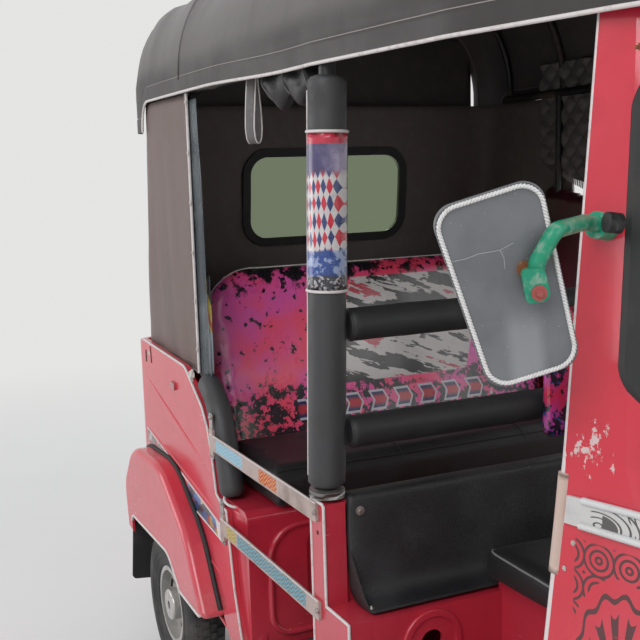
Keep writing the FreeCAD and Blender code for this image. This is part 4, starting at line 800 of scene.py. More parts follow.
rows = []
for j in range(41):
    share = j / 40
    z = STRIP_BOTTOM + (STRIP_TOP - STRIP_BOTTOM) * share
    width = 0.060 + 0.022 * (1 - share)
    row = []
    for i in range(11):
        across = i / 10
        out = 0.5655 - 0.006 * sin(pi * across) - 0.004 * noise.noise(at(across * 2, z * 5, -1))
        row.append(at(CURTAIN_FRONT - 0.008 + width * across, -out, z))
    rows.append(row)
strip = thicken(build("clear_strip_right", *lattice(rows), CLEAR.material, "glass"), 0.0012)
DECAL = Finish("strip_decal", {"Roughness": 0.35, "Coat Weight": 0.5})
slant = DECAL.z * 9.0 + DECAL.x * 14.0
wave = DECAL.noise(9.0, 3.0)
tone = DECAL.mix(DECAL.ramp((slant + wave * 1.2) % 1.0, 0.30, 0.34), (0.75, 0.10, 0.05), (0.80, 0.62, 0.10))
tone = DECAL.mix(DECAL.ramp((slant * 0.5 + wave) % 1.0, 0.55, 0.58), tone, (0.03, 0.03, 0.035))
tone = DECAL.mix(DECAL.ramp(DECAL.z + wave * 0.05, 0.99, 1.0, 1.0, 0.0), tone, (0.62, 0.66, 0.68))
DECAL.put("Base Color", tone)
rows = [[at(CURTAIN_FRONT + 0.030 + 0.026 * i / 4, -0.553, 0.875 + 0.24 * j / 16) for i in range(5)]
        for j in range(17)]
thicken(build("strip_decal_right", *lattice(rows), DECAL.material, "seat_print"), 0.001)

# Strap loops: webbing loops bound in white, hung from the roof rail to tie the rolled side
# curtain up. Each is one band, folded into a teardrop.

WEBBING = grimy("grey_webbing", (0.16, 0.15, 0.15), 0.85, 0.0, (0.26, 0.24, 0.23), 60.0, 0.5, 12.0)
STRAP_AT, STRAP_TURN = at(-0.3545, -0.548, 1.545), radians(40)


def strap_loop(name, side):
    line = [(0.004, 0.0), (0.010, -0.035), (0.016, -0.075), (0.0175, -0.100), (0.014, -0.120), (0.006, -0.1305),
            (-0.005, -0.1315), (-0.0135, -0.122), (-0.0175, -0.102), (-0.015, -0.075), (-0.009, -0.035), (-0.003, 0.0)]
    curve = spread([at(u, 0, v) for u, v in line], 60)
    rows, bindings = [], [[], []]
    for index, point in enumerate(curve):
        twist = 0.5 * sin(pi * index / 59)
        axis = at(cos(twist), sin(twist) * 0.25, 0.0)
        row = []
        for k in range(5):
            offset = (k / 4 - 0.5) * 0.021
            spot = at(axis.x * offset, point.x + axis.y * offset, point.z)
            turned = Matrix.Rotation(STRAP_TURN, 3, "Z") @ spot
            row.append(at(STRAP_AT.x + turned.x, side * (-STRAP_AT.y - turned.y), STRAP_AT.z + spot.z))
        rows.append(row)
        bindings[0].append(row[0])
        bindings[1].append(row[-1])
    band = thicken(build(name, *lattice(rows), WEBBING, "hood_cloth"), 0.0022)
    bead(name + "_binding", bindings, 0.0017, PIPING, "hood_cloth", sides=6)
    stitches(name + "_stitches", [[p.lerp(q, 0.16) for p, q in zip(*bindings)],
                                  [p.lerp(q, 0.84) for p, q in zip(*bindings)]], 0.006, 0.004, 0.0011)
    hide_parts("hanging_straps")


strap_loop("strap_right", -1)
strap_loop("strap_left", 1)

# Rolled side curtains: coated cloth rolled under the roof rail and hanging in loose dark
# folds between its ties.

ROLLED_VINYL = grimy("rolled_vinyl", (0.022, 0.020, 0.022), 0.45, 0.0, (0.05, 0.045, 0.045), 14.0, 0.5, 30.0)
ROLL_FRONT, ROLL_REAR, ROLL_RADIUS = -0.104, -0.320, 0.028
roll_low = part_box("curtain_rolls")[0]


def rolled_curtain(name, side):
    rows = []
    middle_y = (abs(roll_low.y) + 0.489) / 2
    for j in range(45):
        share = j / 44
        x = ROLL_FRONT + (ROLL_REAR - ROLL_FRONT) * share
        drop = 0.5 - 0.5 * cos(share * 4 * pi)
        radius = ROLL_RADIUS * (0.80 + 0.20 * drop)
        row = []
        for i in range(36):
            angle = 2 * pi * i / 36
            pleat = 0.0035 * sin(angle * 3 + x * 60) + 0.004 * noise.noise(at(x * 30, angle, side))
            lower = max(0.0, -sin(angle)) ** 1.5 * 0.030 * drop
            row.append(at(x + 0.004 * sin(angle * 2 + x * 30), side * (middle_y + (radius + pleat) * cos(angle)),
                          roll_low.z + 0.031 + (radius + pleat) * sin(angle) - lower))
        rows.append(row)
    roll = outward(build(name, *capped(rows), ROLLED_VINYL, "black_vinyl"))
    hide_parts("curtain_rolls")
    ties = [rows[k] + rows[k][:1] for k in (2, 22, 42)]
    bead(name + "_ties", ties, 0.0026, WEBBING, "black_vinyl", sides=6)


rolled_curtain("curtain_roll_right", -1)
rolled_curtain("curtain_roll_left", 1)

# Door pillars: foam tubes with a vinyl skin laced round the steel posts, each with a printed
# wrap between two white bands, a stitched white edge and a steel collar at its foot.

FOAM = grimy("foam_skin", (0.046, 0.046, 0.049), 0.50, 0.0, (0.060, 0.058, 0.056), 13.0, 0.5, 45.0)
# Painted shade: a darker copy of the foam skin for the backrest bars and their washers, as they sit in the cabin's
# shade.
SHADED_BAR_FOAM = grimy("bar_foam_shaded", (0.022, 0.022, 0.024), 0.56, 0.0, (0.034, 0.033, 0.032), 13.0, 0.5, 45.0)
PILLAR_FOOT, PILLAR_HEAD = at(-0.0095, -0.568, 0.7508), at(0.0025, -0.548, 1.5563)
PILLAR_RADIUS, PILLAR_GAP = 0.0355, 0.024
WRAP_LOW, WRAP_HIGH = 1.140, 1.420


def ring_frame(way):
    """Two directions square to a line."""
    across = way.cross(at(0.31, 0.05, 0.95) if abs(way.z) < 0.8 else at(1, 0, 0)).normalized()
    return across, way.cross(across)


def sleeve(name, path, radius, material, slot="foam_sleeve", dent=0.0012, sides=40, nose=0.010):
    """A closed soft tube along a path, with rounded ends and small dents."""
    total = span_of(path)
    marks = [0.0, 0.0015, 0.004, nose]
    inner = int((total - 2 * nose) / 0.010)
    marks += [nose + (total - 2 * nose) * i / inner for i in range(1, inner)]
    marks += [total - nose, total - 0.004, total - 0.0015, total]
    spots = walk(path, marks)
    rows = []
    for index, (spot, mark) in enumerate(zip(spots, marks)):
        way = (spots[min(index + 1, len(spots) - 1)] - spots[max(index - 1, 0)]).normalized()
        across, up = ring_frame(way)
        near = min(mark, total - mark)
        share = 1.0 if near >= nose else 1 - 0.42 * (1 - near / nose) ** 2.2
        row = []
        for k in range(sides):
            angle = 2 * pi * k / sides
            out = across * cos(angle) + up * sin(angle)
            soft = noise.noise((spot + out * radius) * 9) + 0.4 * noise.noise((spot + out * radius) * 31)
            row.append(spot + out * (radius * share - dent * (0.7 + soft)))
        rows.append(row)
    return outward(build(name, *capped(rows), material, slot))


def ring_at(centre, way, radius, count=48):
    """A closed ring of points, square to a direction."""
    across, up = ring_frame(way)
    return [centre + (across * cos(a) + up * sin(a)) * radius
            for a in (2 * pi * k / count for k in range(count + 1))]


WRAP = Finish("printed_wrap", {"Coat Weight": 0.55, "Coat Roughness": 0.12})
ripple = WRAP.noise(16.0, 2.0)
turn_about = WRAP.x * 44.0 + WRAP.y * 30.0
rising = (WRAP.z * 17.0 + turn_about + ripple * 0.5) % 1.0
falling = (WRAP.z * 17.0 - turn_about + ripple * 0.5) % 1.0
lozenge = WRAP.mix(WRAP.ramp(rising, 0.48, 0.52), (0.55, 0.022, 0.050), (0.62, 0.58, 0.58))
lozenge = WRAP.mix(WRAP.ramp(falling, 0.48, 0.52), lozenge, WRAP.mix(WRAP.ramp(rising, 0.48, 0.52), (0.60, 0.56, 0.56),
                                                                     (0.030, 0.045, 0.16)))
cloudy = WRAP.mix(WRAP.patches((11.0, 5.0), 0.42, 0.60), (0.055, 0.045, 0.13), (0.34, 0.28, 0.42))
drops = WRAP.mix(WRAP.patches((34.0, 6.0, 0.66), 0.50, 0.56), (0.020, 0.060, 0.25), (0.30, 0.36, 0.55))
speckle = WRAP.mix(WRAP.patches((150.0, 4.0), 0.50, 0.60), (0.025, 0.024, 0.035), (0.45, 0.43, 0.44))
tone = WRAP.mix(WRAP.ramp(WRAP.z + ripple * 0.012, 1.170, 1.178), speckle, drops)
tone = WRAP.mix(WRAP.ramp(WRAP.z + ripple * 0.020, 1.222, 1.228), tone, lozenge)
tone = WRAP.mix(WRAP.ramp(WRAP.z + ripple * 0.020, 1.350, 1.366), tone, cloudy)
tone = WRAP.mix(WRAP.ramp(WRAP.z, 1.398, 1.400), tone, (0.50, 0.018, 0.050))
WRAP.put("Base Color", WRAP.mix(WRAP.patches((40.0, 4.0), 0.60, 0.80, 0.0, 0.4), tone, (0.10, 0.09, 0.09)))
WRAP.put("Roughness", WRAP.patches((24.0, 3.0), 0.3, 0.7, 0.22, 0.42))
WRAP.grain((30.0, 3.0), 0.002, 0.3)

for side, tag in SIDES:
    foot, head = on_side([PILLAR_FOOT, PILLAR_HEAD], side)
    way = (head - foot).normalized()
    start, end = foot + way * (PILLAR_GAP + 0.001), head - way * 0.039
    post_pad = sleeve(f"pillar_sleeve_{tag}", [start, end], PILLAR_RADIUS, FOAM)
    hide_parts("pillar_pads")
    low_at = foot + way * ((WRAP_LOW - foot.z) / way.z)
    high_at = foot + way * ((WRAP_HIGH - foot.z) / way.z)
    sleeve(f"pillar_wrap_{tag}", [low_at, high_at], PILLAR_RADIUS + 0.0012, WRAP.material, "seat_print",
           dent=0.0004, nose=0.002)
    bead(f"pillar_wrap_bands_{tag}", [ring_at(low_at, way, PILLAR_RADIUS + 0.0008),
                                      ring_at(high_at, way, PILLAR_RADIUS + 0.0008)], 0.0028, PIPING,
         "foam_sleeve")
    edge_way = at(-0.30, side * 0.95, 0).normalized()
    lacing = [foot.lerp(head, 0.06 + 0.86 * i / 60) + edge_way * (PILLAR_RADIUS - 0.0002) for i in range(61)]
    bead(f"pillar_edge_{tag}", [lacing], 0.0014, PIPING, "foam_sleeve", sides=6)
    sleeve(f"pillar_collar_{tag}", [foot + way * 0.004, foot + way * 0.023], 0.0335, STEEL, "steel", dent=0.0003,
           nose=0.003)

# Jamb pads: foam rolls along the front edge of each side panel, curving back over its top
# corner, piped in white where they meet the paint.

JAMB_PATH = ((-0.536, 0.564, 0.606), (-0.551, 0.564, 0.66), (-0.570, 0.564, 0.72), (-0.590, 0.564, 0.77),
             (-0.616, 0.564, 0.812), (-0.650, 0.564, 0.842), (-0.686, 0.564, 0.857))
for side, tag in SIDES:
    path = spread([at(x, side * y, z) for x, y, z in JAMB_PATH], 40)
    roll = sleeve(f"jamb_pad_{tag}", path, 0.0300, FOAM, dent=0.0016, nose=0.014)
    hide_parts("pillar_pads")

# Backrest bars: foam-sleeved tubes across the cab behind the driver, with flanged washers at
# their ends. Both take the darker copy of the foam skin, as painted shade.

BAR_X, BAR_RADIUS = -0.0045, 0.0315
BAR_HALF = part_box("backrest_bars")[1].y
for tag, height, short in (("upper", 1.073, 0.005), ("lower", 0.873, 0.001)):
    reach = BAR_HALF - short
    path = [at(BAR_X, -reach, height), at(BAR_X, reach, height)]
    bar = sleeve(f"bar_sleeve_{tag}", path, BAR_RADIUS, SHADED_BAR_FOAM, dent=0.0011, nose=0.008)
    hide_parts("backrest_bars")
    rings = [ring_at(at(BAR_X, side * (reach - 0.004), height), at(0, 1, 0), 0.0225) for side in (-1, 1)]
    bead(f"bar_washers_{tag}", rings, 0.0036, SHADED_BAR_FOAM, "foam_sleeve")

# Seats: foam in vinyl covers. Each cover is closed round its block and blown up a little by
# a cloth simulation, so that it crowns between its seams; the seam cords are sewn on after.

VOXEL = 0.009
VINYL = Finish("black_vinyl", {"Specular IOR Level": 0.36, "Sheen Weight": 0.03})
worn = VINYL.patches((6.0, 6.0, 0.62), 0.40, 0.72, 0.0, 0.6)
dots = VINYL.ramp(VINYL.cells(520.0), 0.1, 0.6)
flecks = VINYL.patches((620.0, 2.0), 0.60, 0.72, 0.0, 0.22)
tone = VINYL.mix(worn, (0.011, 0.011, 0.012), (0.022, 0.022, 0.024))
VINYL.put("Base Color", VINYL.mix(flecks, tone, (0.16, 0.16, 0.165)))
VINYL.put("Roughness", VINYL.ramp(worn, 0.0, 0.6, 0.42, 0.60))
VINYL.bump(dots, 0.0006, 0.45)
VINYL.grain((14.0, 4.0), 0.003, 0.25)

PRINT = Finish("seat_print", {"Coat Weight": 0.75, "Coat Roughness": 0.14})
level, wide = PRINT.z, PRINT.y
blots = PRINT.noise(15.0, 8.0, 0.68)
fine = PRINT.noise(48.0, 5.0, 0.62)
flow = PRINT.noise(4.0, 3.0)
blaze = PRINT.mix(PRINT.ramp(flow, 0.40, 0.60), (0.90, 0.070, 0.150), (0.74, 0.10, 0.42))
blaze = PRINT.mix(PRINT.ramp(wide + flow * 0.2, -0.44, -0.34, 0.75, 0.0) *
                       PRINT.band(level, 0.96, 0.05, 0.08), blaze, (0.42, 0.50, 0.58))
night = PRINT.mix(PRINT.ramp(fine, 0.50, 0.62), (0.010, 0.010, 0.016), (0.030, 0.045, 0.16))
above = PRINT.ramp(level + (blots - 0.5) * 0.42, 1.07, 1.10)
below = PRINT.ramp(level + (blots - 0.5) * 0.50, 0.765, 0.80, 1.0, 0.0)
spots = PRINT.ramp(fine + (blots - 0.5) * 0.5, 0.375, 0.395, 1.0, 0.0)
tone = PRINT.mix(spots, blaze, (0.014, 0.012, 0.020))
tone = PRINT.mix(below, tone, PRINT.mix(PRINT.ramp(fine, 0.52, 0.54), night, blaze))
tone = PRINT.mix(above, tone, (0.012, 0.011, 0.014))
lean_at = wide - level * 0.42
field = PRINT.band(lean_at, -0.31, 0.215, 0.004) * PRINT.band(level, 0.925, 0.135, 0.004)
stroke = PRINT.join(lean_at * 5.0, (level + wide * 0.35) * 21.0, PRINT.x)
brushed = PRINT.noise(1.0, 5.0, 0.62, stroke)
badge = PRINT.mix(PRINT.ramp(brushed, 0.47, 0.49), (0.012, 0.012, 0.013), (0.58, 0.56, 0.55))
badge = PRINT.mix(PRINT.ramp(brushed, 0.60, 0.62), badge, (0.46, 0.03, 0.06))
tone = PRINT.mix(field, tone, badge)
row_of = ((wide + abs(level - 0.735) * 0.5) * 13.0) % 1.0
in_row = PRINT.band(level, 0.735, 0.026, 0.001) * PRINT.band(wide, 0.01, 0.30, 0.004)
outline = PRINT.band(row_of, 0.40, 0.30, 0.01)
core = PRINT.band(row_of, 0.40, 0.23, 0.01) * PRINT.band(level, 0.735, 0.020, 0.001)
chevrons = PRINT.mix(core, (0.55, 0.55, 0.60), PRINT.mix(PRINT.band(level, 0.735, 0.006, 0.010),
                                                                   (0.020, 0.020, 0.10), (0.50, 0.03, 0.05)))
tone = PRINT.mix(in_row * outline, tone, chevrons)
PRINT.put("Base Color", tone)
PRINT.put("Roughness", PRINT.patches((9.0, 4.0), 0.35, 0.7, 0.24, 0.40))
PRINT.grain((12.0, 4.0), 0.004, 0.30)
PRINT.bump(PRINT.noise(1.0, 3.0, 0.5, PRINT.stretched(20.0, 60.0, 9.0)), 0.003, 0.25)


def swell(piece, cap, keep):
    """Blows a closed cover up by a short cloth simulation; keep(point) holds it in its place."""
    remesh = piece.modifiers.new("even", "REMESH")
    remesh.mode = "VOXEL"
    remesh.voxel_size = VOXEL
    settle(piece)
    rest = [v.co.copy() for v in piece.data.vertices]
    cloth = piece.modifiers.new("cover", "CLOTH")
    cloth.settings.quality = 4
    cloth.settings.mass = 0.4
    cloth.settings.tension_stiffness = 12
    cloth.settings.compression_stiffness = 12
    cloth.settings.bending_stiffness = 0.6
    cloth.settings.use_pressure = True
    cloth.settings.uniform_pressure_force = 4.0
    cloth.settings.effector_weights.gravity = 0
    scene = bpy.context.scene
    for step in range(1, 21):
        scene.frame_set(step)
    graph = bpy.context.evaluated_depsgraph_get()
    blown = piece.evaluated_get(graph).to_mesh()
    moved = [v.co.copy() for v in blown.vertices]
    piece.evaluated_get(graph).to_mesh_clear()
    piece.modifiers.clear()
    scene.frame_set(1)
    for vertex, old, new in zip(piece.data.vertices, rest, moved):
        shift = new - old
        if shift.length > cap:
            shift *= cap / shift.length
        vertex.co = keep(old + shift)
    smooth = piece.modifiers.new("smooth", "SMOOTH")
    smooth.factor = 0.5
    smooth.iterations = 3
    finer = piece.modifiers.new("finer", "SUBSURF")
    finer.levels = finer.render_levels = 1
    settle(piece)
    for vertex in piece.data.vertices:
        vertex.co = keep(vertex.co)
    for face in piece.data.polygons:
        face.use_smooth = True
    return piece


def block(name, outline, place, material, slot, bevel=0.010):
    """A closed block with rounded edges, from an outline and two ends."""
    piece = prism(name, outline, place, material, slot)
    soft = piece.modifiers.new("edges", "BEVEL")
    soft.width = bevel
    soft.segments = 3
    soft.limit_method = "ANGLE"
    return settle(piece)


def held_in(low, high, gap=0.0):
    """Keeps a point in the box between two corners, less a gap all round."""
    def keep(p):
        return Vector([min(high[k] - gap, max(low[k] + gap, p[k])) for k in range(3)])
    return keep


def cushion(name, outline, place, material, slot, bevel, cap, keep):
    """A stuffed cover: a bevelled block blown up by no more than cap, inside its room."""
    cover = swell(block(name, outline, place, material, slot, bevel), cap, keep)
    return cover


# Bench backrest: a foam slab leaning on the bench, its two top corners rounded, covered in
# printed vinyl and piped in white over its top edge.

BACK_FOOT, BACK_TILT = at(-0.7125, 0, 0.601), radians(17)
back_low, back_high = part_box("bench_backrest")
BACK_HALF, BACK_RISE, BACK_WALL = 0.513, 0.548, 0.072
back_up = at(-sin(BACK_TILT), 0, cos(BACK_TILT))
back_out = at(cos(BACK_TILT), 0, sin(BACK_TILT))


def on_back(across, up, out):
    return BACK_FOOT + at(-0.006, across, 0) + back_up * up + back_out * out


back_outline = rounded(rectangle(-BACK_HALF, 0.004, BACK_HALF, BACK_RISE), [0.02, 0.02, 0.145, 0.145])


def keep_back(p):
    """Keeps the backrest's cover behind its front plane and in its box."""
    q = held_in(back_low, back_high, 0.001)(p)
    out = (q - BACK_FOOT).dot(back_out)
    return q - back_out * max(0.0, out + 0.002) if out > -0.002 else q


backrest = cushion("backrest_cover", back_outline, lambda u, v, end: on_back(u, v, -0.012 - BACK_WALL * end),
                   PRINT.material, "seat_print", 0.016, 0.014, keep_back)
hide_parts("bench_backrest")
top_seam = sorted((u, v) for u, v in back_outline if v > 0.40)
BACKREST_SKIN = surface(backrest)
seam = []
for p in spread([at(u, v, 0) for u, v in top_seam], 90):
    start = on_back(p.x * 0.985, min(p.y, BACK_RISE) - 0.016, 0.3)
    hit = BACKREST_SKIN.ray_cast(start, -back_out)[0]
    if hit:
        seam.append(hit)
bead("backrest_piping", [seam], 0.0022, PIPING, "seat_print", sides=6)

# Bench cushion: one long foam block in black vinyl, with a cord along its front edge and two
# cords across it.

cushion_low, cushion_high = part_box("bench_cushion")
bench_front, bench_foot, bench_top = cushion_high.x - 0.008, cushion_low.z + 0.004, cushion_high.z - 0.010
bench_outline = rounded([(-0.733, bench_foot), (bench_front, bench_foot), (bench_front, bench_top),
                         (-0.717, bench_top)], [0.006, 0.018, 0.034, 0.012])
bench_margin = at(0.001, 0.001, 0.0005)
bench_low = cushion_low + bench_margin
bench_low.x = max(bench_low.x, -0.7115)
bench_cushion = cushion("bench_cover", bench_outline, lambda u, v, end: at(u, 0.516 * (2 * end - 1), v),
                        VINYL.material, "black_vinyl", 0.014, 0.012,
                        held_in(bench_low, cushion_high - bench_margin))
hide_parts("bench_cushion")
BENCH_SKIN = surface(bench_cushion)


def over(shell, line, way=at(0, 0, -1), lift=0.0):
    """A line dropped on a surface from outside."""
    found = []
    for p in line:
        hit, normal = shell.ray_cast(p - way * 0.5, way)[:2]
        if hit:
            found.append(hit + normal * lift)
    return found


front_seam = [at(cushion_high.x - 0.034, y / 50 * 0.50, 0.66) for y in range(-50, 51)]
bead("bench_front_cord", [over(BENCH_SKIN, front_seam)], 0.0028, VINYL.material, "black_vinyl")
for index, y in enumerate((-0.175, 0.175)):
    groove = [at(-0.70 + 0.29 * i / 30, y, 0.66) for i in range(31)]
    bead(f"bench_cross_cord_{index}", [over(BENCH_SKIN, groove)], 0.0022, VINYL.material, "black_vinyl",
         sides=6)

# Driver's seat: a black cushion on the box with a grey cord round its top, and a printed
# back pad in front of the bars.

seat_low, seat_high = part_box("driver_cushion")
seat_outline = rounded([(seat_low.x + 0.008, seat_low.z + 0.004), (seat_high.x - 0.010, seat_low.z + 0.004),
                        (seat_high.x - 0.010, seat_high.z - 0.010), (seat_low.x + 0.008, seat_high.z - 0.008)],
                       [0.010, 0.020, 0.032, 0.018])
driver_seat = cushion("driver_cover", seat_outline,
                      lambda u, v, end: at(u, (seat_high.y - 0.009) * (2 * end - 1), v),
                      VINYL.material, "black_vinyl", 0.018, 0.010, held_in(seat_low, seat_high, 0.001))
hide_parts("driver_cushion")
SEAT_SKIN = surface(driver_seat)
CORD_GREY = grimy("grey_cord", (0.22, 0.22, 0.22), 0.5, 0.0, (0.10, 0.10, 0.10), 60.0, 0.5)
seat_ring = rounded(rectangle(seat_low.x + 0.022, -seat_high.y + 0.022, seat_high.x - 0.026, seat_high.y - 0.022),
                    [0.02, 0.05, 0.05, 0.02], 10)
seat_ring = spread([at(u, v, 0.62) for u, v in seat_ring + seat_ring[:1]], 160)
bead("driver_seat_cord", [over(SEAT_SKIN, seat_ring)], 0.0020, CORD_GREY, "black_vinyl", sides=6)

pad_low, pad_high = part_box("driver_backrest")
PADDED = Finish("pad_print", {"Coat Weight": 0.7, "Coat Roughness": 0.14})
blot = PADDED.noise(26.0, 7.0, 0.68)
glow = PADDED.mix(PADDED.patches((7.0, 3.0), 0.42, 0.58), (0.55, 0.02, 0.06), (0.42, 0.05, 0.30))
dark = PADDED.mix(PADDED.patches((70.0, 4.0), 0.52, 0.60), (0.014, 0.012, 0.022), (0.03, 0.06, 0.22))
cover = PADDED.ramp(blot + (PADDED.z - 0.93) * 0.5, 0.46, 0.49)
PADDED.put("Base Color", PADDED.mix(cover, dark, glow))
PADDED.put("Roughness", PADDED.patches((12.0, 3.0), 0.3, 0.7, 0.22, 0.38))
PADDED.grain((24.0, 4.0), 0.002, 0.3)
pad_outline = rounded(rectangle(-0.124, pad_low.z + 0.006, 0.124, pad_high.z - 0.006), [0.028] * 4)
driver_back = cushion("driver_back_cover", pad_outline,
                      lambda u, v, end: at(pad_low.x + 0.006 + 0.022 * end, u, v), PADDED.material,
                      "seat_print", 0.007, 0.008, held_in(pad_low, pad_high, 0.0005))
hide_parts("driver_backrest")

# Partition pad: grained black vinyl over foam, its top rolled over the partition's edge, its
# foot run out over the deck. It is held by a washer rivet and a screw.

PAD_PROFILE = ((-0.0165, 0.752), (-0.0160, 0.7570), (-0.011, 0.7602), (0.004, 0.7606), (0.016, 0.7602),
               (0.0235, 0.7565), (0.0272, 0.750), (0.0290, 0.735), (0.0325, 0.700), (0.0368, 0.650),
               (0.0405, 0.612), (0.0440, 0.592), (0.0520, 0.5775), (0.0640, 0.5705), (0.0800, 0.5680),
               (0.0950, 0.5665), (0.1010, 0.5640), (0.1015, 0.5575), (0.0600, 0.5568), (0.0120, 0.5568),
               (0.0118, 0.640), (0.0118, 0.748), (-0.0050, 0.7505))
PAD_HALF = 0.5430
GRAIN = Finish("grained_vinyl", {"Specular IOR Level": 0.55})
pores = GRAIN.ramp(GRAIN.cells(430.0), 0.06, 0.55)
glint = GRAIN.patches((560.0, 2.0), 0.60, 0.70, 0.0, 0.35)
pale_patch = GRAIN.patches((5.0, 5.0), 0.42, 0.70, 0.0, 0.75)
tone = GRAIN.mix(pale_patch, (0.011, 0.011, 0.013), (0.026, 0.027, 0.030))
GRAIN.put("Base Color", GRAIN.mix(glint * (0.35 + pale_patch), tone, (0.22, 0.22, 0.23)))
GRAIN.put("Roughness", GRAIN.ramp(pale_patch, 0.0, 0.75, 0.46, 0.62))
GRAIN.bump(pores, 0.0008, 0.7)
GRAIN.grain((8.0, 4.0), 0.004, 0.2)


def partition_cover():
    rows = []
    for j in range(110):
        y = PAD_HALF * (2 * j / 109 - 1)
        near = min(1.0, (PAD_HALF - abs(y)) / 0.018)
        row = []
        for u, v in PAD_PROFILE:
            soft = 0.5 + 0.5 * noise.noise(at(y * 7, v * 6, u * 4))
            front = ease(u, 0.018, 0.03) * (1 - ease(u, 0.08, 0.1))
            tuck = 0.0045 * (1 - near) ** 2 + 0.0022 * soft * front
            pinch = 0.003 * exp(-((abs(y) - 0.525) / 0.012) ** 2 - ((v - 0.728) / 0.014) ** 2)
            row.append(at(u - tuck - pinch * front, y, v - (0.003 * (1 - near) ** 2 if v > 0.74 else 0.0)))
        rows.append(row)
    pad = outward(build("partition_cover", *capped(rows), GRAIN.material, "black_vinyl"))
    finer = pad.modifiers.new("finer", "SUBSURF")
    finer.levels = finer.render_levels = 1
    return settle(pad)


pad = partition_cover()
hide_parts("partition_pad")


def studding():
    """A washer and a bevelled head at the start of each two-point path, standing along it."""
    tree = Growth("studding", Radius="Float", Height="Float", Sides="Int")
    line = tree.node("GeometryNodeMeshToCurve", {}, {"Mesh": tree.given("Geometry")})
    spots = tree.node("GeometryNodeCurveToPoints", {"mode": "COUNT"}, {"Curve": line, "Count": 1})
    ahead = tree.node("FunctionNodeAlignRotationToVector", {"axis": "Z"}, {"Vector": spots.node.outputs["Tangent"]})
    thin = tree.node("ShaderNodeMath", {"operation": "MULTIPLY"}, {0: tree.given("Height"), 1: 0.7})
    narrow = tree.node("ShaderNodeMath", {"operation": "MULTIPLY"}, {0: tree.given("Radius"), 1: 0.62})
    crown = tree.node("ShaderNodeMath", {"operation": "MULTIPLY"}, {0: tree.given("Radius"), 1: 0.40})
    washer = tree.node("GeometryNodeMeshCylinder", {}, {"Vertices": 20, "Radius": tree.given("Radius"),
                                                        "Depth": thin})
    head = tree.node("GeometryNodeMeshCone", {}, {"Vertices": tree.given("Sides"), "Radius Top": crown,
                                                  "Radius Bottom": narrow, "Depth": tree.given("Height")})
    both = tree.node("GeometryNodeJoinGeometry", {}, {"Geometry": washer})
    tree.group.links.new(head, both.node.inputs[0])
    return tree.close(tree.node("GeometryNodeInstanceOnPoints", {}, {"Points": spots, "Instance": both,
                                                                     "Rotation": ahead}))


STUDDING = studding()


def studs(name, places, radius, height, material, slot="steel", body="chassis", sides=6):
    """Bolts or rivets: places are (point, direction) pairs."""
    paths = [[Vector(p), Vector(p) + Vector(way).normalized() * 0.01] for p, way in places]
    return STUDDING.grow(name, paths, slot, body, Radius=radius, Height=height, Sides=sides, Material=material)


studs("pad_rivets", [((0.0295, side * 0.520, 0.731), (1, 0, 0)) for side in (-1, 1)], 0.0085, 0.005, STEEL, sides=16)
studs("pad_screws", [((0.088, side * 0.532, 0.5680), (0, 0, 1)) for side in (-1, 1)], 0.0062, 0.004, CHROME, sides=16)

# Pressed edges: every panel's edge is covered with a split white piping cord pushed on by
# hand. The cords follow the door edges, the posts, the side panels and the fender lips.

PANEL = skin("side_panel_right")
FENDER = skin("fenders")
COWL_SKIN = skin("front_cowl")


def cast(shell, start, way):
    return shell.ray_cast(Vector(start), Vector(way))[0]


panel_top = [cast(PANEL, (x, -0.582, 2), (0, 0, -1)) for x in [-1.156 + 0.009 * i for i in range(60)]]
panel_top = [p for p in panel_top if p and p.z > 0.70]
panel_front = [cast(PANEL, (0.3, -0.582, z), (-1, 0, 0)) for z in [0.69 - 0.012 * i for i in range(36)]]
panel_edge = [at(p.x, -0.5895, p.z) for p in panel_top + [p for p in panel_front if p]]
bead("panel_piping", both_sides(spread(panel_edge, 220)), 0.0030, PIPING)

lip = [cast(FENDER, (-1.1835 + 0.0052 * i, -0.642, 0.05), (0, 0, 1)) for i in range(118)]
lip = [at(p.x, -0.6450, p.z) for p in lip if p and p.z < 0.40]
bead("fender_piping", both_sides(spread(lip, 150)), 0.0036, PIPING)
crest = [cast(FENDER, (x, -0.600, 2), (0, 0, -1)) for x in [-1.252 + 0.0085 * i for i in range(81)]]
crest = [at(p.x, -0.5955, p.z + 0.0015) for p in crest if p]
bead("fender_rubber", both_sides(spread(crest, 150)), 0.0062, RUBBER, "black_rubber")

post = [at(x, -0.590, z) for x, z in ((-0.0355, 0.283), (-0.0355, 0.750), (0.0205, 0.750), (0.0205, 0.5565),
                                      (0.1125, 0.5565), (0.1125, 0.283))]
bead("post_piping", both_sides(spread(post, 120)), 0.0030, PIPING)

door_edge = []
for i in range(120):
    z = 0.285 + (1.540 - 0.285) * i / 119
    side = cast(COWL_SKIN, (0.606, -2, z), (0, 1, 0))
    if side:
        door_edge.append(at(0.6005, side.y + 0.0035, z))
bead("door_piping", both_sides(door_edge), 0.0056, PIPING)
jamb_ring = [at(-0.520 + 0.027 * cos(a), -0.562 + 0.028 * sin(a), 0.6035 - 0.010 * cos(a))
             for a in [pi * (0.95 + 1.1 * i / 24) for i in range(25)]]
bead("jamb_piping", both_sides(jamb_ring), 0.0034, PIPING)

# Side panels: pressed creases, a wind slot and a marker lamp, and a strip of cut vinyl film
# between two white lines that run down to a white triangle at the door jamb.

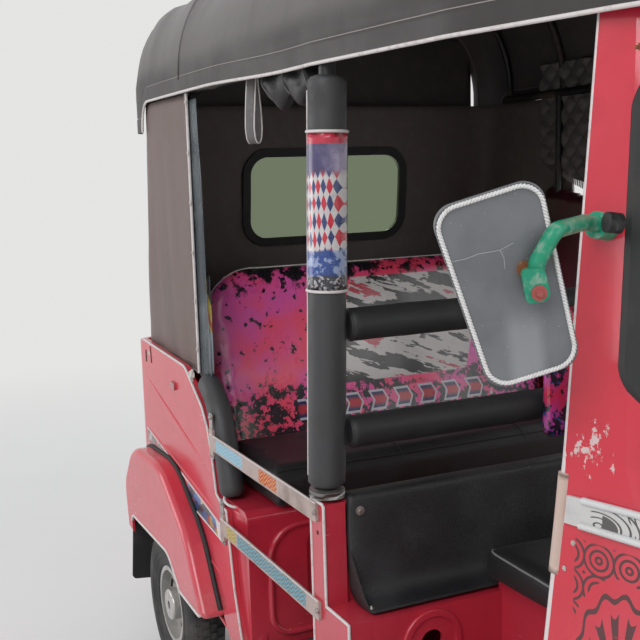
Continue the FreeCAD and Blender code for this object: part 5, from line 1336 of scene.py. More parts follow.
FILM = Finish("side_film", {"Coat Weight": 0.4, "Coat Roughness": 0.2})
slanted = FILM.x * 15.0 - FILM.z * 13.0
smear = FILM.noise(22.0, 4.0)
rear_part = FILM.mix(FILM.ramp((slanted + smear * 0.5) % 1.0, 0.40, 0.44), (0.42, 0.44, 0.43), (0.26, 0.20, 0.20))
rear_part = FILM.mix(FILM.patches((34.0, 5.0), 0.52, 0.58), rear_part, (0.40, 0.09, 0.11))
flakes = FILM.cells(38.0, FILM.stretched(1.0, 1.0, 1.6), "Color")
flake_tone = FILM.split(flakes)
front_part = FILM.mix(FILM.ramp(flake_tone[0], 0.55, 0.56), (0.050, 0.050, 0.065), (0.045, 0.13, 0.33))
front_part = FILM.mix(FILM.ramp(flake_tone[1], 0.74, 0.75), front_part, (0.52, 0.34, 0.08))
front_part = FILM.mix(FILM.ramp(flake_tone[2], 0.84, 0.85), front_part, (0.42, 0.07, 0.08))
gap = FILM.ramp(FILM.x, -0.93, -0.925) * FILM.ramp(FILM.x, -0.80, -0.795, 1.0, 0.0)
tone = FILM.mix(FILM.ramp(FILM.x, -0.86, -0.859), rear_part, front_part)
FILM.put("Base Color", FILM.mix(gap, tone, FADED_RED))
FILM.put("Roughness", FILM.ramp(smear, 0.3, 0.7, 0.30, 0.55))
BAND_REAR, BAND_FRONT = ((-1.158, 0.642), (-1.158, 0.560)), ((-0.545, 0.534), (-0.536, 0.497))


def on_panel(u, v):
    """A point in the band: u from rear to front, v from the lower line to the upper one."""
    (rx, rt), rb = BAND_REAR[0], BAND_REAR[1][1]
    (fx, ft), (gx, fb) = BAND_FRONT
    top = at(rx + (fx - rx) * u, -0.5906, rt + (ft - rt) * u)
    low = at(rx + (gx - rx) * u, -0.5906, rb + (fb - rb) * u)
    return low.lerp(top, v)


for side, tag in SIDES:
    rows = [on_side([on_panel(i / 60 * 0.93, v) for i in range(61)], side) for v in (0.06, 0.5, 0.94)]
    thicken(build(f"side_film_{tag}", *lattice(rows), FILM.material, "red_paint"), 0.0006)
    corners = [on_panel(0.935, 0.0), on_panel(0.925, 1.0), on_panel(1.0, 0.98), on_panel(1.0, 0.02)]
    prism(f"side_triangle_{tag}", [(p.x, p.z) for p in corners],
          lambda u, v, end: at(u, side * (0.5906 + 0.0010 * end), v), PIPING, "trim")
lines = [[on_panel(i / 40, v) for i in range(41)] for v in (0.0, 1.0)]
bead("side_lines", both_sides(*lines), 0.0022, PIPING)
CREASES = (((-1.158, 0.648), (-0.548, 0.552)), ((-1.156, 0.800), (-0.60, 0.640)), ((-0.86, 0.462), (-0.56, 0.405)),
           ((-0.74, 0.330), (-0.54, 0.282)))
creases = [[at(a[0], -0.5890, a[1]).lerp(at(b[0], -0.5890, b[1]), i / 20) for i in range(21)]
           for a, b in CREASES]
for crease in creases:
    for i, p in enumerate(crease):
        p.y += 0.003 * (1 - sin(pi * i / 20))
bead("panel_creases", both_sides(*creases), 0.0042, BODY_RED, "red_paint")
MARKER = lens("marker_lens", (0.42, 0.05, 0.06))
# Painted shade: near black for openings drawn as dark pieces on the surface: the wind slot, the post's hole, the panel
# crack and the rim slots.
OPENING_SHADE = grimy("painted_opening_shade", (0.015, 0.012, 0.012), 0.8)
for side, tag in SIDES:
    slab(f"marker_{tag}", [(-0.898, 0.806), (-0.862, 0.803), (-0.862, 0.822), (-0.898, 0.825)], 0.007, 1, side * 0.589,
         side * 0.596, MARKER, "amber_lamp")
    # The wind slot is a thin dark plate on the panel: painted shade.
    slab(f"wind_slot_{tag}", rectangle(-1.140, 0.838, -1.131, 0.872), 0.003, 1, side * 0.588, side * 0.5908, OPENING_SHADE,
         "black_rubber")
panel_crack = [at(x, -0.5902, z) for x, z in ((-1.090, 0.888), (-1.086, 0.868), (-1.0835, 0.842))]
bead("panel_cracks", [panel_crack], 0.0016, OPENING_SHADE, "black_rubber", sides=6)

# Guard bars: two flat steel bars, painted silver and faded to beige, bolted across the right
# doorway; each carries scraps of coloured tape and a white top edge.

TAPE = Finish("guard_bar_paint", {"Specular IOR Level": 0.4})
scrub = TAPE.noise(18.0, 5.0)
tone = TAPE.mix(TAPE.ramp(scrub, 0.40, 0.72), (0.44, 0.34, 0.31), (0.27, 0.21, 0.18))
zigzag = abs((TAPE.x * 42.0) % 1.0 - 0.5) * 0.020 + TAPE.noise(30.0, 2.0) * 0.010
scribble = TAPE.band((TAPE.z - zigzag) % 0.009, 0.0045, 0.0013, 0.0008)


def tape(tone, middle, half, drop, colour, mark):
    """One scrap of tape on the bars, with loose scribbled lines over it."""
    place = TAPE.band(TAPE.x, middle, half, 0.0015) * TAPE.band(TAPE.z, drop, 0.0135, 0.001)
    return TAPE.mix(place, tone, TAPE.mix(scribble, colour, mark))


tone = tape(tone, -0.465, 0.085, 0.730, (0.20, 0.42, 0.55), (0.40, 0.52, 0.58))
tone = tape(tone, -0.235, 0.047, 0.730, (0.50, 0.030, 0.050), (0.60, 0.36, 0.05))
tone = tape(tone, -0.470, 0.030, 0.539, (0.55, 0.42, 0.10), (0.24, 0.22, 0.14))
tone = tape(tone, -0.245, 0.185, 0.539, (0.17, 0.17, 0.165), (0.12, 0.44, 0.58))
TAPE.put("Base Color", tone)
TAPE.put("Roughness", TAPE.ramp(scrub, 0.3, 0.7, 0.38, 0.62))
TAPE.grain((60.0, 3.0), 0.001, 0.3)
dress(TAPE.material, "guard_bars")
bar_edges = [[at(x, -0.5955, z) for x in (rear, -0.30, -0.004)] for rear, z in ((-0.592, 0.7485), (-0.542, 0.5575))]
bead("guard_bar_edges", [spread(line, 40) for line in bar_edges], 0.0016, PIPING, sides=6)
for index, (x, bottom, top) in enumerate(((-0.586, 0.690, 0.800), (-0.534, 0.497, 0.606))):
    slab(f"guard_bracket_{index}", rectangle(x - 0.011, bottom, x + 0.011, top), 0.004, 1, -0.5905, -0.5940, STEEL,
         "steel")
GUARD_BOLTS = ((-0.586, -0.5945, 0.790), (-0.534, -0.5945, 0.597), (-0.586, -0.5945, 0.700),
               (-0.534, -0.5945, 0.505), (-0.0065, -0.5965, 0.730), (-0.0065, -0.5965, 0.539))
studs("guard_bolts", [(spot, (0, -1, 0)) for spot in GUARD_BOLTS], 0.0062, 0.005, STEEL)
# The post's hole is a thin dark disc: painted shade.
studs("post_hole", [((-0.008, -0.5902, 0.690), (0, -1, 0))], 0.0042, 0.0006, OPENING_SHADE, "black_rubber", sides=12)

# Wheels: 4.00-8 tyres on split steel rims. Each tyre is a moulded carcass with four rows of
# tread blocks, and each rim has ten slots and five nuts.

CARCASS = ((0.1045, 0.0400), (0.1080, 0.0435), (0.1150, 0.0440), (0.1230, 0.0462), (0.1290, 0.0480), (0.1315, 0.0493),
           (0.1345, 0.0482), (0.1480, 0.0494), (0.1620, 0.0490), (0.1760, 0.0474), (0.1870, 0.0452), (0.1930, 0.0425),
           (0.1965, 0.0385), (0.1985, 0.0310), (0.2000, 0.0160), (0.2005, 0.0000))
TYRE = Finish("tyre_rubber", {"Specular IOR Level": 0.35})
dusty = TYRE.patches((13.0, 6.0, 0.65), 0.40, 0.72, 0.0, 0.75)
TYRE.put("Base Color", TYRE.mix(dusty, (0.020, 0.020, 0.021), (0.125, 0.115, 0.105)))
TYRE.put("Roughness", TYRE.ramp(dusty, 0.0, 0.75, 0.62, 0.88))
TYRE.grain((260.0, 3.0), 0.0006, 0.4)
CAP_SILVER = grimy("hub_silver", (0.52, 0.51, 0.49), 0.30, 0.6, (0.24, 0.18, 0.13), 26.0, 0.5)


def tread():
    """Rubber blocks on every point of a ring, turned to face away from the axle."""
    tree = Growth("tread", Centre="Vector", Length="Float", Width="Float", Height="Float")
    where = tree.node("GeometryNodeInputPosition", {}, {})
    out = tree.node("ShaderNodeVectorMath", {"operation": "SUBTRACT"}, {0: where, 1: tree.given("Centre")})
    flat = tree.node("ShaderNodeVectorMath", {"operation": "MULTIPLY"}, {0: out, 1: (1.0, 0.0, 1.0)})
    facing = tree.node("FunctionNodeAlignRotationToVector", {"axis": "Z", "pivot_axis": "Y"}, {"Vector": flat})
    size = tree.node("ShaderNodeCombineXYZ", {}, {0: tree.given("Length"), 1: tree.given("Width"),
                                                  2: tree.given("Height")})
    block = tree.node("GeometryNodeMeshCube", {}, {"Size": size})
    return tree.close(tree.node("GeometryNodeInstanceOnPoints", {}, {"Points": tree.given("Geometry"),
                                                                     "Instance": block, "Rotation": facing}))


TREAD = tread()


def tyre(name, node, body):
    centre = centre_of(node)
    outer = list(CARCASS) + [(r, -y) for r, y in reversed(CARCASS[:-1])]
    inner = [(0.1035, -0.036), (0.1035, 0.036)]
    turns = [2 * pi * k / 96 for k in range(96)] + [0.0]
    rows = [[centre + at(radius * cos(angle), along, radius * sin(angle))
             for radius, along in outer + inner] for angle in turns]
    carcass = outward(build(name, *lattice(rows, closed=True), TYRE.material, "tyre", body))
    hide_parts(node)
    for tag, count, offset, reach, along, size in (
            ("inner", 56, 0.0, 0.2012, 0.0095, (0.0150, 0.0135, 0.006)),
            ("shoulder", 48, 0.5, 0.1988, 0.0295, (0.0155, 0.0170, 0.0074))):
        spots = []
        for side in (-1, 1):
            for k in range(count):
                angle = 2 * pi * (k + offset + 0.25 * side) / count
                spots.append(centre + at(reach * cos(angle), side * along, reach * sin(angle)))
        TREAD.grow(f"{name}_{tag}_blocks", [[p] for p in spots], "tyre", body, Centre=centre, Length=size[0],
                   Width=size[1], Height=size[2], Material=TYRE.material)
    rings = [ring_at(centre + at(0, side * 0.0488, 0), at(0, 1, 0), 0.1425, 72) for side in (-1, 1)]
    bead(f"{name}_rings", rings, 0.0012, TYRE.material, "tyre", body, 6)


def hub(name, node, body, sides):
    """Nuts on the outer faces of a wheel, and its slots drawn as dark beads of painted shade."""
    centre = centre_of(node)
    rim = skin(node)
    nuts, slots = [], []
    for side in sides:
        def face(radius, angle):
            start = centre + at(radius * cos(angle), side * 0.3, radius * sin(angle))
            return rim.ray_cast(start, at(0, -side, 0))[0]

        for k in range(5):
            spot = face(0.052, 2 * pi * k / 5 + 0.3)
            if spot:
                nuts.append((spot + at(0, side * 0.002, 0), (0, side, 0)))
        for k in range(10):
            arc = [face(0.079, 2 * pi * (k + t) / 10) for t in (0.15, 0.30, 0.45, 0.60)]
            if all(arc):
                slots.append([p + at(0, side * 0.0006, 0) for p in arc])
    studs(f"{name}_nuts", nuts, 0.0085, 0.012, CAP_SILVER, "silver_paint", body)
    bead(f"{name}_slots", [spread(arc, 8) for arc in slots], 0.0046, OPENING_SHADE, "black_rubber", body)


WHEELS = (("front", "", (-1, 1)), ("rear", "_right", (-1,)), ("rear", "_left", (1,)))
for place, tail, sides in WHEELS:
    tyre(f"{place}_tyre{tail}_rubber", f"{place}_tyre{tail}", f"{place}_wheel{tail}")
for place, tail, sides in WHEELS:
    hub(f"{place}_hub{tail}", f"{place}_rim{tail}", f"{place}_wheel{tail}", sides)
dress(CAP_SILVER, "front_rim", "rear_rim_right", "rear_rim_left")

# Bench front: a moulded steel pressing with a deep rounded recess, closed to the side panels
# by curved skirts.

base_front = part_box("bench_base")[1].x
recess = rounded(rectangle(-0.522, 0.300, 0.522, 0.556), [0.05, 0.05, 0.075, 0.075])
recess_path = spread([at(base_front + 0.0005, u, v) for u, v in recess + recess[:1]], 220)
bead("bench_recess_rim", [recess_path], 0.0075, CABIN_RED, "red_paint", sides=10)
for side, tag in SIDES:
    rows = []
    for j in range(25):
        z = 0.275 + 0.318 * j / 24
        edge = cast(PANEL, (0.3, -0.582, z), (-1, 0, 0))
        start, end = at(edge.x - 0.004, 0.5765, z), at(base_front - 0.001, 0.5300, z)
        row = []
        for i in range(11):
            share = i / 10
            spot = start.lerp(end, share)
            bulge = 0.012 * sin(pi * share)
            row.append(at(spot.x + bulge, side * (spot.y + bulge * 0.8), spot.z))
        rows.append(row)
    thicken(build(f"bench_skirt_{tag}", *lattice(rows), CABIN_RED, "red_paint"), 0.0012)

# Cowl sides: the film strip over the rubbing rail between two white beads, a split sleeve on
# the door edge, screws, a paper tab, and a cut-film ornament on the lower panels.

TRIM = Finish("trim_film", {"Coat Weight": 0.3, "Coat Roughness": 0.15})
along = TRIM.x - abs(TRIM.y) * 0.8
inside = (along * 9.0) % 1.0
arc = TRIM.node("ShaderNodeVectorMath", {"operation": "LENGTH"},
                {0: TRIM.join(inside - 0.35, (TRIM.z - 0.896) * 22.0)}, 1)
rings = TRIM.band((arc * 7.0) % 1.0, 0.5, 0.10, 0.05)
vanes = TRIM.band((along * 95.0 + TRIM.z * 60.0) % 1.0, 0.5, 0.12, 0.05) * TRIM.ramp(arc, 0.55, 0.58)
solid = TRIM.ramp(arc, 0.30, 0.32, 1.0, 0.0) * TRIM.ramp(inside, 0.40, 0.42)
black = TRIM.ramp(rings + vanes + solid, 0.4, 0.6) * TRIM.ramp(along, 0.245, 0.250)
smudge = TRIM.patches((24.0, 5.0), 0.40, 0.72, 0.0, 0.5)
tone = TRIM.mix(smudge, (0.56, 0.55, 0.54), (0.30, 0.28, 0.27))
TRIM.put("Base Color", TRIM.mix(black * 0.92, tone, (0.045, 0.040, 0.040)))
TRIM.put("Roughness", TRIM.ramp(smudge, 0.0, 0.5, 0.25, 0.5))
dress(TRIM.material, "trim_strip")
TRIM_SKIN = skin("trim_strip")


def rail_path(z, lift):
    path = []
    for i in range(141):
        angle = radians(-83.5 + 167 * i / 140)
        out = at(cos(angle), sin(angle), 0)
        hit = cast(TRIM_SKIN, at(0.56, 0, z) + out * 1.5, -out)
        if hit and hit.x > 0.630:
            path.append(hit + out * lift)
    return path


WHITE_BEAD = grimy("white_bead", (0.66, 0.66, 0.66), 0.25, 0.2, (0.36, 0.33, 0.31), 30.0, 0.35)
rails = [rail_path(z, 0.0005) for z in (0.8895, 0.9215)]
bead("trim_beads", [spread(rail, 160) for rail in rails], 0.0050, WHITE_BEAD, sides=10)

COWL = red_paint("cowl_red", FRESH_RED, FADED_RED, 0.50, 1.0)
wrapped = COWL.x - abs(COWL.y) * 0.8
cell_u = ((wrapped - 0.215) * 5.4) % 1.0 - 0.5
cell_v = (COWL.z - 0.70) * 3.9
from_centre = COWL.node("ShaderNodeVectorMath", {"operation": "LENGTH"}, {0: COWL.join(cell_u, cell_v)}, 1)
bearing = cell_v.maths("ARCTAN2", cell_v, cell_u)
petals = bearing.maths("SINE", bearing * 14.0 + from_centre * 5.0)
blades = COWL.ramp(petals, -0.05, 0.15) * COWL.ramp(from_centre, 0.17, 0.19)
blades = blades * COWL.ramp(from_centre + petals * 0.03, 0.36, 0.38, 1.0, 0.0)
hoops = COWL.band(from_centre, 0.10, 0.022, 0.01) + COWL.band(from_centre + petals * 0.018, 0.44, 0.010, 0.008)
shells = COWL.cells(19.0, COWL.join(wrapped, COWL.z * 1.3), scatter=0.0)
scales = COWL.band((shells * 5.0) % 1.0, 0.5, 0.17, 0.08) * COWL.ramp(from_centre, 0.52, 0.54)
field = COWL.ramp(COWL.z, 0.868, 0.872, 1.0, 0.0) * COWL.ramp(wrapped, 0.217, 0.222)
field = field * COWL.ramp(wrapped, 1.02, 1.05, 1.0, 0.0)
radial = COWL.join(COWL.x - 0.55, COWL.y)
looking = COWL.node("ShaderNodeNewGeometry", {}, {}, "Normal")
outer = COWL.node("ShaderNodeVectorMath", {"operation": "DOT_PRODUCT"}, {0: looking, 1: radial}, 1)
ornament = COWL.ramp(blades + hoops + scales, 0.4, 0.6) * field
ornament = ornament * COWL.ramp(outer, -0.01, 0.01) * COWL.patches((60.0, 4.0), 0.66, 0.74, 0.9, 0.4)
scrape_at = COWL.node("ShaderNodeVectorMath", {"operation": "DISTANCE"}, {0: COWL.where, 1: (0.640, -0.500, 0.985)}, 1)
scrapes = COWL.noise(1.0, 5.0, 0.7, COWL.stretched(70.0, 20.0, 34.0))
scraped = COWL.ramp(scrapes + COWL.ramp(scrape_at, 0.0, 0.085, 0.10, -0.22), 0.57, 0.62, 0.0, 0.8)
scraped = scraped * COWL.patches((130.0, 3.0), 0.42, 0.50)
tone = COWL.mix(ornament, COWL.tone, (0.035, 0.022, 0.024))
COWL.put("Base Color", COWL.mix(scraped, tone, (0.66, 0.60, 0.58)))
dress(COWL.material, "front_cowl")

BEIGE = grimy("beige_plastic", (0.56, 0.42, 0.36), 0.42, 0.0, (0.40, 0.27, 0.22), 26.0, 0.4)
for side, tag in SIDES:
    cover = [at(0.6000, -side * (p.y + 0.004), p.z) for p in door_edge if 0.806 < p.z < 0.953]
    sleeve(f"edge_sleeve_{tag}", spread(cover, 14), 0.0120, BEIGE, "trim", dent=0.0003, sides=24, nose=0.002)
places = []
for x, z in ((0.628, 0.862), (0.619, 0.826)):
    hit = cast(COWL_SKIN, (x, -2, z), (0, 1, 0))
    places += [((hit.x, hit.y, hit.z), (0, -1, 0)), ((hit.x, -hit.y, hit.z), (0, 1, 0))]
studs("edge_screws", places, 0.0036, 0.003, CHROME, sides=12)
tab_y = cast(COWL_SKIN, (0.66, -2, 1.49), (0, 1, 0)).y
for side, tag in SIDES:
    prism(f"pillar_tab_{tag}", rounded(rectangle(0.640, 1.476, 0.676, 1.502), [0.003] * 4),
          lambda u, v, end: at(u, -side * (tab_y - 0.30 * (0.66 - u) - 0.002 * end), v), BEIGE, "trim")
studs("tab_rivets", [((0.650, tab_y - 0.005, 1.489), (0, -1, 0)), ((0.650, -tab_y + 0.005, 1.489), (0, 1, 0))], 0.0055,
      0.004, RUST, sides=12)

# Mirrors: a pressed grey shell edged with glued-on twisted cord, the glass facing back, and
# a green bent arm bolted to its middle. The right shell is cracked across.

ACROSS, FACING = at(0.414, 0.867, 0.278), at(0.910, -0.405, -0.092)
MIRROR_AT = at(0.6651, -0.6378, 1.2084)
MIRROR_TOP, MIRROR_BOTTOM, MIRROR_TALL, MIRROR_CORNER = 0.0675, 0.0570, 0.116, 0.026
SHELL = Finish("mirror_shell", {"Coat Weight": 0.3, "Coat Roughness": 0.25})
patch = SHELL.noise(9.0, 4.0)
pale = SHELL.band(SHELL.y + SHELL.z * 0.16, -0.434, 0.010, 0.016) * SHELL.ramp(SHELL.z, 1.190, 1.150)
tone = SHELL.mix(SHELL.ramp(patch, 0.38, 0.66), (0.110, 0.115, 0.125), (0.155, 0.160, 0.170))
tone = SHELL.mix(pale * 0.6, tone, (0.27, 0.28, 0.29))
SHELL.put("Base Color", SHELL.mix(SHELL.ramp(SHELL.cells(95.0), 0.035, 0.06, 0.8, 0.0), tone, (0.5, 0.5, 0.5)))
SHELL.put("Roughness", SHELL.ramp(patch, 0.3, 0.7, 0.34, 0.50))
SHELL.grain((300.0, 2.0), 0.0004, 0.2)
GLASS = Finish("mirror_glass", {"Metallic": 1.0})
GLASS.put("Base Color", GLASS.mix(GLASS.patches((14.0, 5.0), 0.5, 0.8), (0.80, 0.82, 0.83),
                                        (0.55, 0.54, 0.52)))
GLASS.put("Roughness", GLASS.patches((14.0, 5.0), 0.5, 0.8, 0.02, 0.2))
mirror_corners = [(-MIRROR_BOTTOM, -MIRROR_TALL), (MIRROR_BOTTOM, -MIRROR_TALL), (MIRROR_TOP, MIRROR_TALL),
                  (-MIRROR_TOP, MIRROR_TALL)]
mirror_outline = rounded(mirror_corners, [MIRROR_CORNER] * 4, 10)
SHELL_ROWS = ((0.962, -0.0118), (0.995, -0.0110), (1.0, -0.0095), (1.0, -0.0035), (0.990, -0.0015), (0.972, -0.0028),
              (0.955, -0.0034), (0.60, -0.0028), (0.30, -0.0026))


def on_mirror(u, v, out, side):
    """A point of the mirror's own plane: across, up and towards the front."""
    spot = MIRROR_AT + ACROSS * u + FACING.cross(ACROSS) * v + FACING * out
    return at(spot.x, -side * spot.y, spot.z)


def inset(scale):
    return [Vector((p.x - copysign((1 - scale) * MIRROR_TOP, p.x), p.y - copysign((1 - scale) * MIRROR_TOP, p.y)))
            if scale > 0.9 else p * scale for p in mirror_outline]


def strands(ring, twist, thick):
    """Two strands wound round a closed path."""
    line = spread(ring, int(span_of(ring) / 0.0013))
    total = span_of(ring)
    turns = round(total / twist)
    wound = [[], []]
    for i, p in enumerate(line):
        way = (line[(i + 1) % len(line)] - line[i - 1]).normalized()
        over_side = way.cross(MIRROR_OUT)
        for which in (0, 1):
            angle = 2 * pi * turns * i / (len(line) - 1) + pi * which
            wound[which].append(p + (over_side * cos(angle) + MIRROR_OUT * sin(angle)) * thick)
    return wound


RED_RUST = grimy("red_rust", (0.36, 0.085, 0.075), 0.7, 0.1, (0.28, 0.16, 0.11), 120.0, 0.6)
ROPE_WHITE = grimy("white_cord", (0.72, 0.71, 0.70), 0.5, 0.0, (0.45, 0.40, 0.38), 80.0, 0.4)
for side, tag in SIDES:
    rows = [[on_mirror(p.x, p.y, depth, side) for p in inset(scale)] for scale, depth in SHELL_ROWS]
    shell = outward(build(f"mirror_shell_{tag}", *capped(rows), SHELL.material, "mirror_shell"))
    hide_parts("mirror_plates")
    prism(f"mirror_glass_{tag}", [p * 0.93 for p in mirror_outline],
          lambda u, v, end: on_mirror(u, v, -0.0112 - 0.0008 * end, side), GLASS.material, "mirror_shell")
    MIRROR_OUT = at(FACING.x, -side * FACING.y, FACING.z)
    ring = [on_mirror(p.x, p.y, -0.0014, side) for p in inset(0.940)]
    bead(f"mirror_cord_{tag}", strands(ring + ring[:1], 0.0085, 0.0015), 0.0017, ROPE_WHITE, sides=6)
    blade = rounded([(0.013, 0.024), (0.0095, -0.019), (0.0385, -0.024), (0.0395, 0.016)], [0.006, 0.007, 0.009, 0.010])
    prism(f"mirror_blade_{tag}", blade,
          lambda u, v, end: on_mirror(u, v, 0.0130 + 0.0070 * end + (v + 0.02) * 0.1, side), GREEN, "green_paint")
    studs(f"mirror_bolt_{tag}", [(on_mirror(0.0262, -0.0100, 0.0215, side), MIRROR_OUT)], 0.0092, 0.007, RED_RUST,
          sides=12)
    studs(f"mirror_nut_{tag}", [(on_mirror(0.0215, 0.0165, 0.0010, side), MIRROR_OUT)], 0.0098, 0.012, RUST)
CRACK = grimy("crack", (0.34, 0.34, 0.35), 0.8)
crack = [(-0.0600, 0.0510), (-0.0430, 0.0490), (-0.0250, 0.0500), (0.0, 0.0464), (0.0170, 0.0499)]
branch = [(0.0, 0.0464), (0.002, 0.0370), (-0.0005, 0.0232)]
bead("mirror_crack", [[on_mirror(u, v, -0.0027, -1) for u, v in line] for line in (crack, branch)], 0.0006, CRACK,
     "mirror_shell", sides=6)
for side, tag in SIDES:
    path = on_side([at(0.6850, -0.4905, 1.2770), at(0.6800, -0.5120, 1.2798)], side)
    sleeve(f"mirror_collar_{tag}", path, 0.0128, RUBBER, "black_rubber", dent=0.0002, sides=24, nose=0.002)

# Quilted lining on the left of the cabin: cloth sewn in diamonds, with a fringe along its
# sloping foot, and a stuffed maroon pad on the wall below it.

QUILT = Finish("quilted_lining", {"Sheen Weight": 0.1})
QUILT.put("Base Color", QUILT.mix(QUILT.patches((9.0, 5.0), 0.38, 0.7), (0.16, 0.145, 0.14), (0.10, 0.090, 0.088)))
QUILT.put("Roughness", QUILT.patches((20.0, 3.0), 0.3, 0.7, 0.5, 0.7))
QUILT.grain((500.0, 2.0), 0.0004, 0.3)
QUILT_TOP, QUILT_STEP = 1.640, 0.062


def quilt_spot(x, z, lift):
    """A point on the inside of the cabin's left wall."""
    found = []
    for wall in (HOOD, CURTAIN):
        hit = cast(wall, (x, 0.30, z), (0, 1, 0))
        if hit:
            found.append(hit.y)
    return at(x, min(min(found or [0.56]), 0.566) - lift, z)


def fringe_line(x):
    return 1.300 + (x + 0.645) * -0.34


rows = []
for j in range(73):
    row = []
    for i in range(41):
        x = -0.845 + 0.295 * i / 40
        bottom = fringe_line(x)
        z = bottom + (QUILT_TOP - bottom) * j / 72
        near = min(abs((x + z) % QUILT_STEP - QUILT_STEP / 2), abs((x - z) % QUILT_STEP - QUILT_STEP / 2))
        row.append(quilt_spot(x, z, 0.006 + 0.011 * ease(near, 0.0, 0.016)))
    rows.append(row)
quilt = build("quilted_lining", *lattice(rows), QUILT.material, "hood_cloth")
thicken(quilt, 0.0016)
seams = []
for k in range(-30, 40):
    for slope in (1, -1):
        line = []
        for i in range(41):
            x = -0.845 + 0.295 * i / 40
            z = k * QUILT_STEP + QUILT_STEP / 2 - slope * x
            if fringe_line(x) < z < QUILT_TOP:
                line.append(quilt_spot(x, z, 0.0075))
        if len(line) > 2:
            seams.append(line)
bead("quilt_seams", seams, 0.0012, LINING, "hood_cloth", sides=6)
tassels = []
for i in range(40):
    x = -0.843 + 0.0074 * i
    top = quilt_spot(x, fringe_line(x), 0.010)
    tassels.append([top + at(0, 0, 0.004), top + at(0.0022, -0.002, -0.008), top + at(-0.001, 0, -0.018)])
bead("quilt_fringe", tassels, 0.0018, QUILT.material, "hood_cloth", sides=6)

MAROON = Finish("maroon_vinyl", {"Coat Weight": 0.25, "Coat Roughness": 0.3})
MAROON.put("Base Color", MAROON.mix(MAROON.patches((8.0, 5.0), 0.4, 0.7), (0.085, 0.012, 0.020),
                                    (0.045, 0.010, 0.014)))
MAROON.put("Roughness", MAROON.patches((20.0, 3.0), 0.3, 0.7, 0.32, 0.5))
MAROON.grain((20.0, 4.0), 0.003, 0.4)
bolster_outline = rounded([(-0.830, 0.935), (-0.600, 0.935), (-0.572, 1.275), (-0.815, 1.310)], [0.03] * 4)
cushion("side_bolster", bolster_outline, lambda u, v, end: at(u, 0.538 + 0.024 * end, v), MAROON.material,
        "black_vinyl", 0.010, 0.016, held_in(at(-0.84, 0.520, 0.92), at(-0.565, 0.564, 1.32)))

# Cabin floor: four thin rubber mats cut to lie round the boxes, grey with the road grit that
# has worked into them.

MAT = Finish("floor_mat", {"Specular IOR Level": 0.3})
grit = MAT.patches((330.0, 3.0), 0.42, 0.66)
tone = MAT.mix(MAT.patches((6.0, 5.0), 0.35, 0.7), (0.045, 0.043, 0.046), (0.095, 0.088, 0.090))
MAT.put("Base Color", MAT.mix(grit * 0.6, tone, (0.20, 0.18, 0.19)))
MAT.put("Roughness", MAT.ramp(grit, 0.0, 1.0, 0.75, 0.95))
MAT.bump(grit, 0.0015, 0.6)
FLOOR_TOP, MAT_WALL = 0.2742, 0.0045
for tag, corners, radius in (("front", [(0.500, -0.52), (0.745, -0.50), (0.745, 0.50), (0.500, 0.52)], 0.02),
                             ("rear", rectangle(-0.410, -0.545, -0.045, 0.545), 0.02),
                             ("right", rectangle(0.1135, -0.5200, 0.500, -0.352), 0.01),
                             ("left", rectangle(0.1135, 0.352, 0.500, 0.5200), 0.01)):
    slab(f"floor_mat_{tag}", corners, radius, 2, FLOOR_TOP, FLOOR_TOP + MAT_WALL, MAT.material, "black_rubber")

# Working fittings: headlamp rim, the engine lid's hinges, latch and louvres, and the hatch
# ring on the driver's box. The moving half of each hinge rides on the lid.

HINGE_X, HINGE_Z, LID_FACE, HINGES_Y = -1.2465, 0.803, -1.2408, (-0.24, 0.24)
LEAF_BACK = LID_FACE - 0.003
lamp_centre = centre_of("headlamp")
rim = ring_at(at(lamp_centre.x + 0.030, 0, lamp_centre.z), at(1, 0, 0), 0.0835, 96)
bead("headlamp_rim", [rim], 0.0050, CHROME, "steel", sides=12)


def along_hinge(*steps):
    """Runs along the hinge line, each from one step to the next beside both hinges."""
    return [[at(HINGE_X, y + a, HINGE_Z), at(HINGE_X, y + b, HINGE_Z)] for y in HINGES_Y for a, b in steps]


bead("lid_knuckles_fixed", along_hinge((-0.030, -0.011), (0.011, 0.030)), 0.0052, STEEL, "steel", sides=12)
bead("lid_knuckles_moving", along_hinge((-0.010, 0.010)), 0.0052, STEEL, "steel", "engine_door", 12)
for index, y in enumerate(HINGES_Y):
    slab(f"lid_leaf_fixed_{index}", rectangle(y - 0.030, 0.803, y + 0.030, 0.838), 0.004, 0, LID_FACE, LEAF_BACK,
         STEEL, "steel")
    slab(f"lid_leaf_moving_{index}", rectangle(y - 0.010, 0.755, y + 0.010, 0.801), 0.003, 0, LID_FACE, LEAF_BACK,
         STEEL, "steel", "engine_door")
studs("lid_hinge_bolts", [((-1.2440, y + dy, 0.826), (-1, 0, 0)) for y in HINGES_Y for dy in (-0.018, 0.018)],
      0.0055, 0.004, STEEL)
studs("lid_screws", [((-1.2440, y, 0.772), (-1, 0, 0)) for y in HINGES_Y], 0.0050, 0.004, STEEL, body="engine_door")
slab("lid_latch_plate", rectangle(-0.045, 0.474, 0.045, 0.500), 0.010, 0, LID_FACE, LID_FACE - 0.0035, STEEL, "steel",
     "engine_door")
handle = [at(x, y, 0.487) for x, y in ((-1.2455, -0.030), (-1.2530, -0.022), (-1.2530, 0.022), (-1.2455, 0.030))]
bead("lid_latch_handle", [handle], 0.0045, CHROME, "steel", "engine_door", 10)
louvres = [[at(-1.2412, y, 0.560 + 0.022 * k) for y in (-0.16, -0.08, 0.0, 0.08, 0.16)] for k in range(8)]
bead("lid_louvres", louvres, 0.0055, BODY_RED, "red_paint", "engine_door", 10)
HATCH_AT = at(0.1138, -0.420, 0.487)
bead("hatch_ring", [ring_at(HATCH_AT, at(1, 0, 0), 0.060, 64)], 0.0034, CABIN_RED, "red_paint", sides=10)

# The set: a pale floor and backdrop, soft lamps, and the camera at the photograph's viewing
# angle, low and to the front right of the cabin.

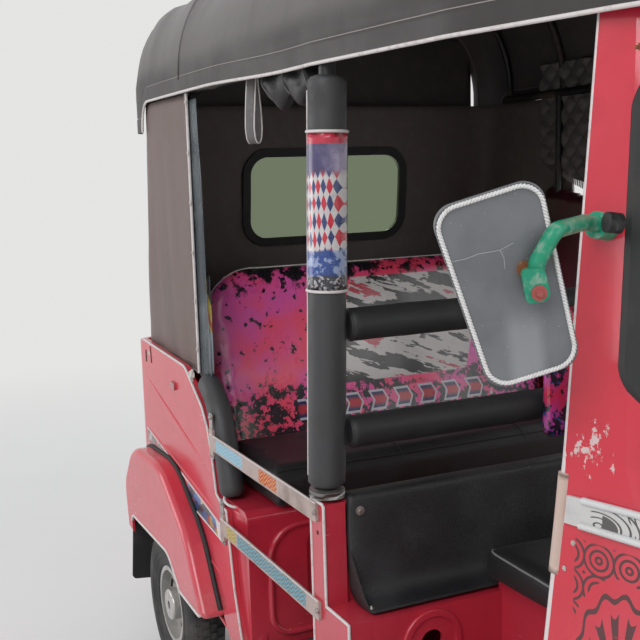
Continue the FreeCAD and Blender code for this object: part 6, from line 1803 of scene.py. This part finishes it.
BACKDROP = (0.78, 0.78, 0.77)
world = bpy.data.worlds.new("studio")
bpy.context.scene.world = world
world.use_nodes = True
sky = world.node_tree
plain = sky.nodes["Background"]
plain.inputs["Color"].default_value = (0.94, 0.96, 1.0, 1)
plain.inputs["Strength"].default_value = 0.50
seen = sky.nodes.new("ShaderNodeBackground")
seen.inputs["Color"].default_value = (*BACKDROP, 1)


def seen_rays(tree):
    """1 for rays from the camera, and for those that gloss and glass pass on."""
    rays = tree.nodes.new("ShaderNodeLightPath")
    found = rays.outputs["Is Camera Ray"]
    for label in ("Is Glossy Ray", "Is Transmission Ray"):
        either = tree.nodes.new("ShaderNodeMath")
        either.operation = "MAXIMUM"
        tree.links.new(found, either.inputs[0])
        tree.links.new(rays.outputs[label], either.inputs[1])
        found = either.outputs[0]
    return found


choose = sky.nodes.new("ShaderNodeMixShader")
sky.links.new(seen_rays(sky), choose.inputs[0])
sky.links.new(plain.outputs[0], choose.inputs[1])
sky.links.new(seen.outputs[0], choose.inputs[2])
sky.links.new(choose.outputs[0], sky.nodes["World Output"].inputs["Surface"])

bpy.ops.mesh.primitive_plane_add(size=60, location=(0, 0, 0))
floor = bpy.context.object
floor.name = "floor"
ground = Finish("pale_floor", {"Roughness": 0.9, "Specular IOR Level": 0.2})
tone = ground.patches((0.8, 5.0), 0.3, 0.7)
ground.put("Base Color", ground.mix(tone, BACKDROP, tuple(c * 0.97 for c in BACKDROP)))
far = ground.ramp(ground.node("ShaderNodeVectorMath", {"operation": "LENGTH"}, {0: ground.where}, 1), 2.5, 6.0)
glow = ground.node("ShaderNodeEmission", {}, {"Color": BACKDROP, "Strength": 1.0})
blend = ground.node("ShaderNodeMixShader", {}, {0: far * Signal(ground, seen_rays(ground.tree)),
                                                1: Signal(ground, ground.shader.outputs[0]), 2: glow})
ground.tree.links.new(blend.socket, ground.tree.nodes["Material Output"].inputs["Surface"])
floor.data.materials.append(ground.material)

# Lamps: name, place, aim, size across, watts
lamps = (("key", (3.0, -4.2, 4.4), (-0.2, 0, 0.9), 3.4, 155),
         ("fill", (4.6, 1.8, 2.6), (0, 0, 0.9), 3.5, 50),
         ("back", (-4.4, 2.6, 3.6), (-0.4, 0, 1.0), 3.0, 80),
         ("side", (-3.2, -4.2, 1.8), (-0.6, 0, 0.7), 2.6, 52))
for name, place, aim, size, watts in lamps:
    lamp = bpy.data.objects.new(name, bpy.data.lights.new(name, "AREA"))
    lamp.data.size = size
    lamp.data.energy = watts
    lamp.location = place
    lamp.rotation_euler = (Vector(aim) - Vector(place)).to_track_quat("-Z", "Y").to_euler()
    bpy.context.scene.collection.objects.link(lamp)

eye = bpy.data.objects.new("camera", bpy.data.cameras.new("camera"))
eye.data.lens = 57.6
eye.data.sensor_width = 36.0
turn = (Matrix.Rotation(radians(65.03), 4, "Z") @ Matrix.Rotation(radians(90 - 8.15), 4, "X")
        @ Matrix.Rotation(radians(-1.75), 4, "Z"))
eye.matrix_world = Matrix.Translation((1.6495, -1.344, 1.348)) @ turn
bpy.context.scene.collection.objects.link(eye)
bpy.context.scene.camera = eye
bpy.context.scene.view_settings.view_transform = "Standard"
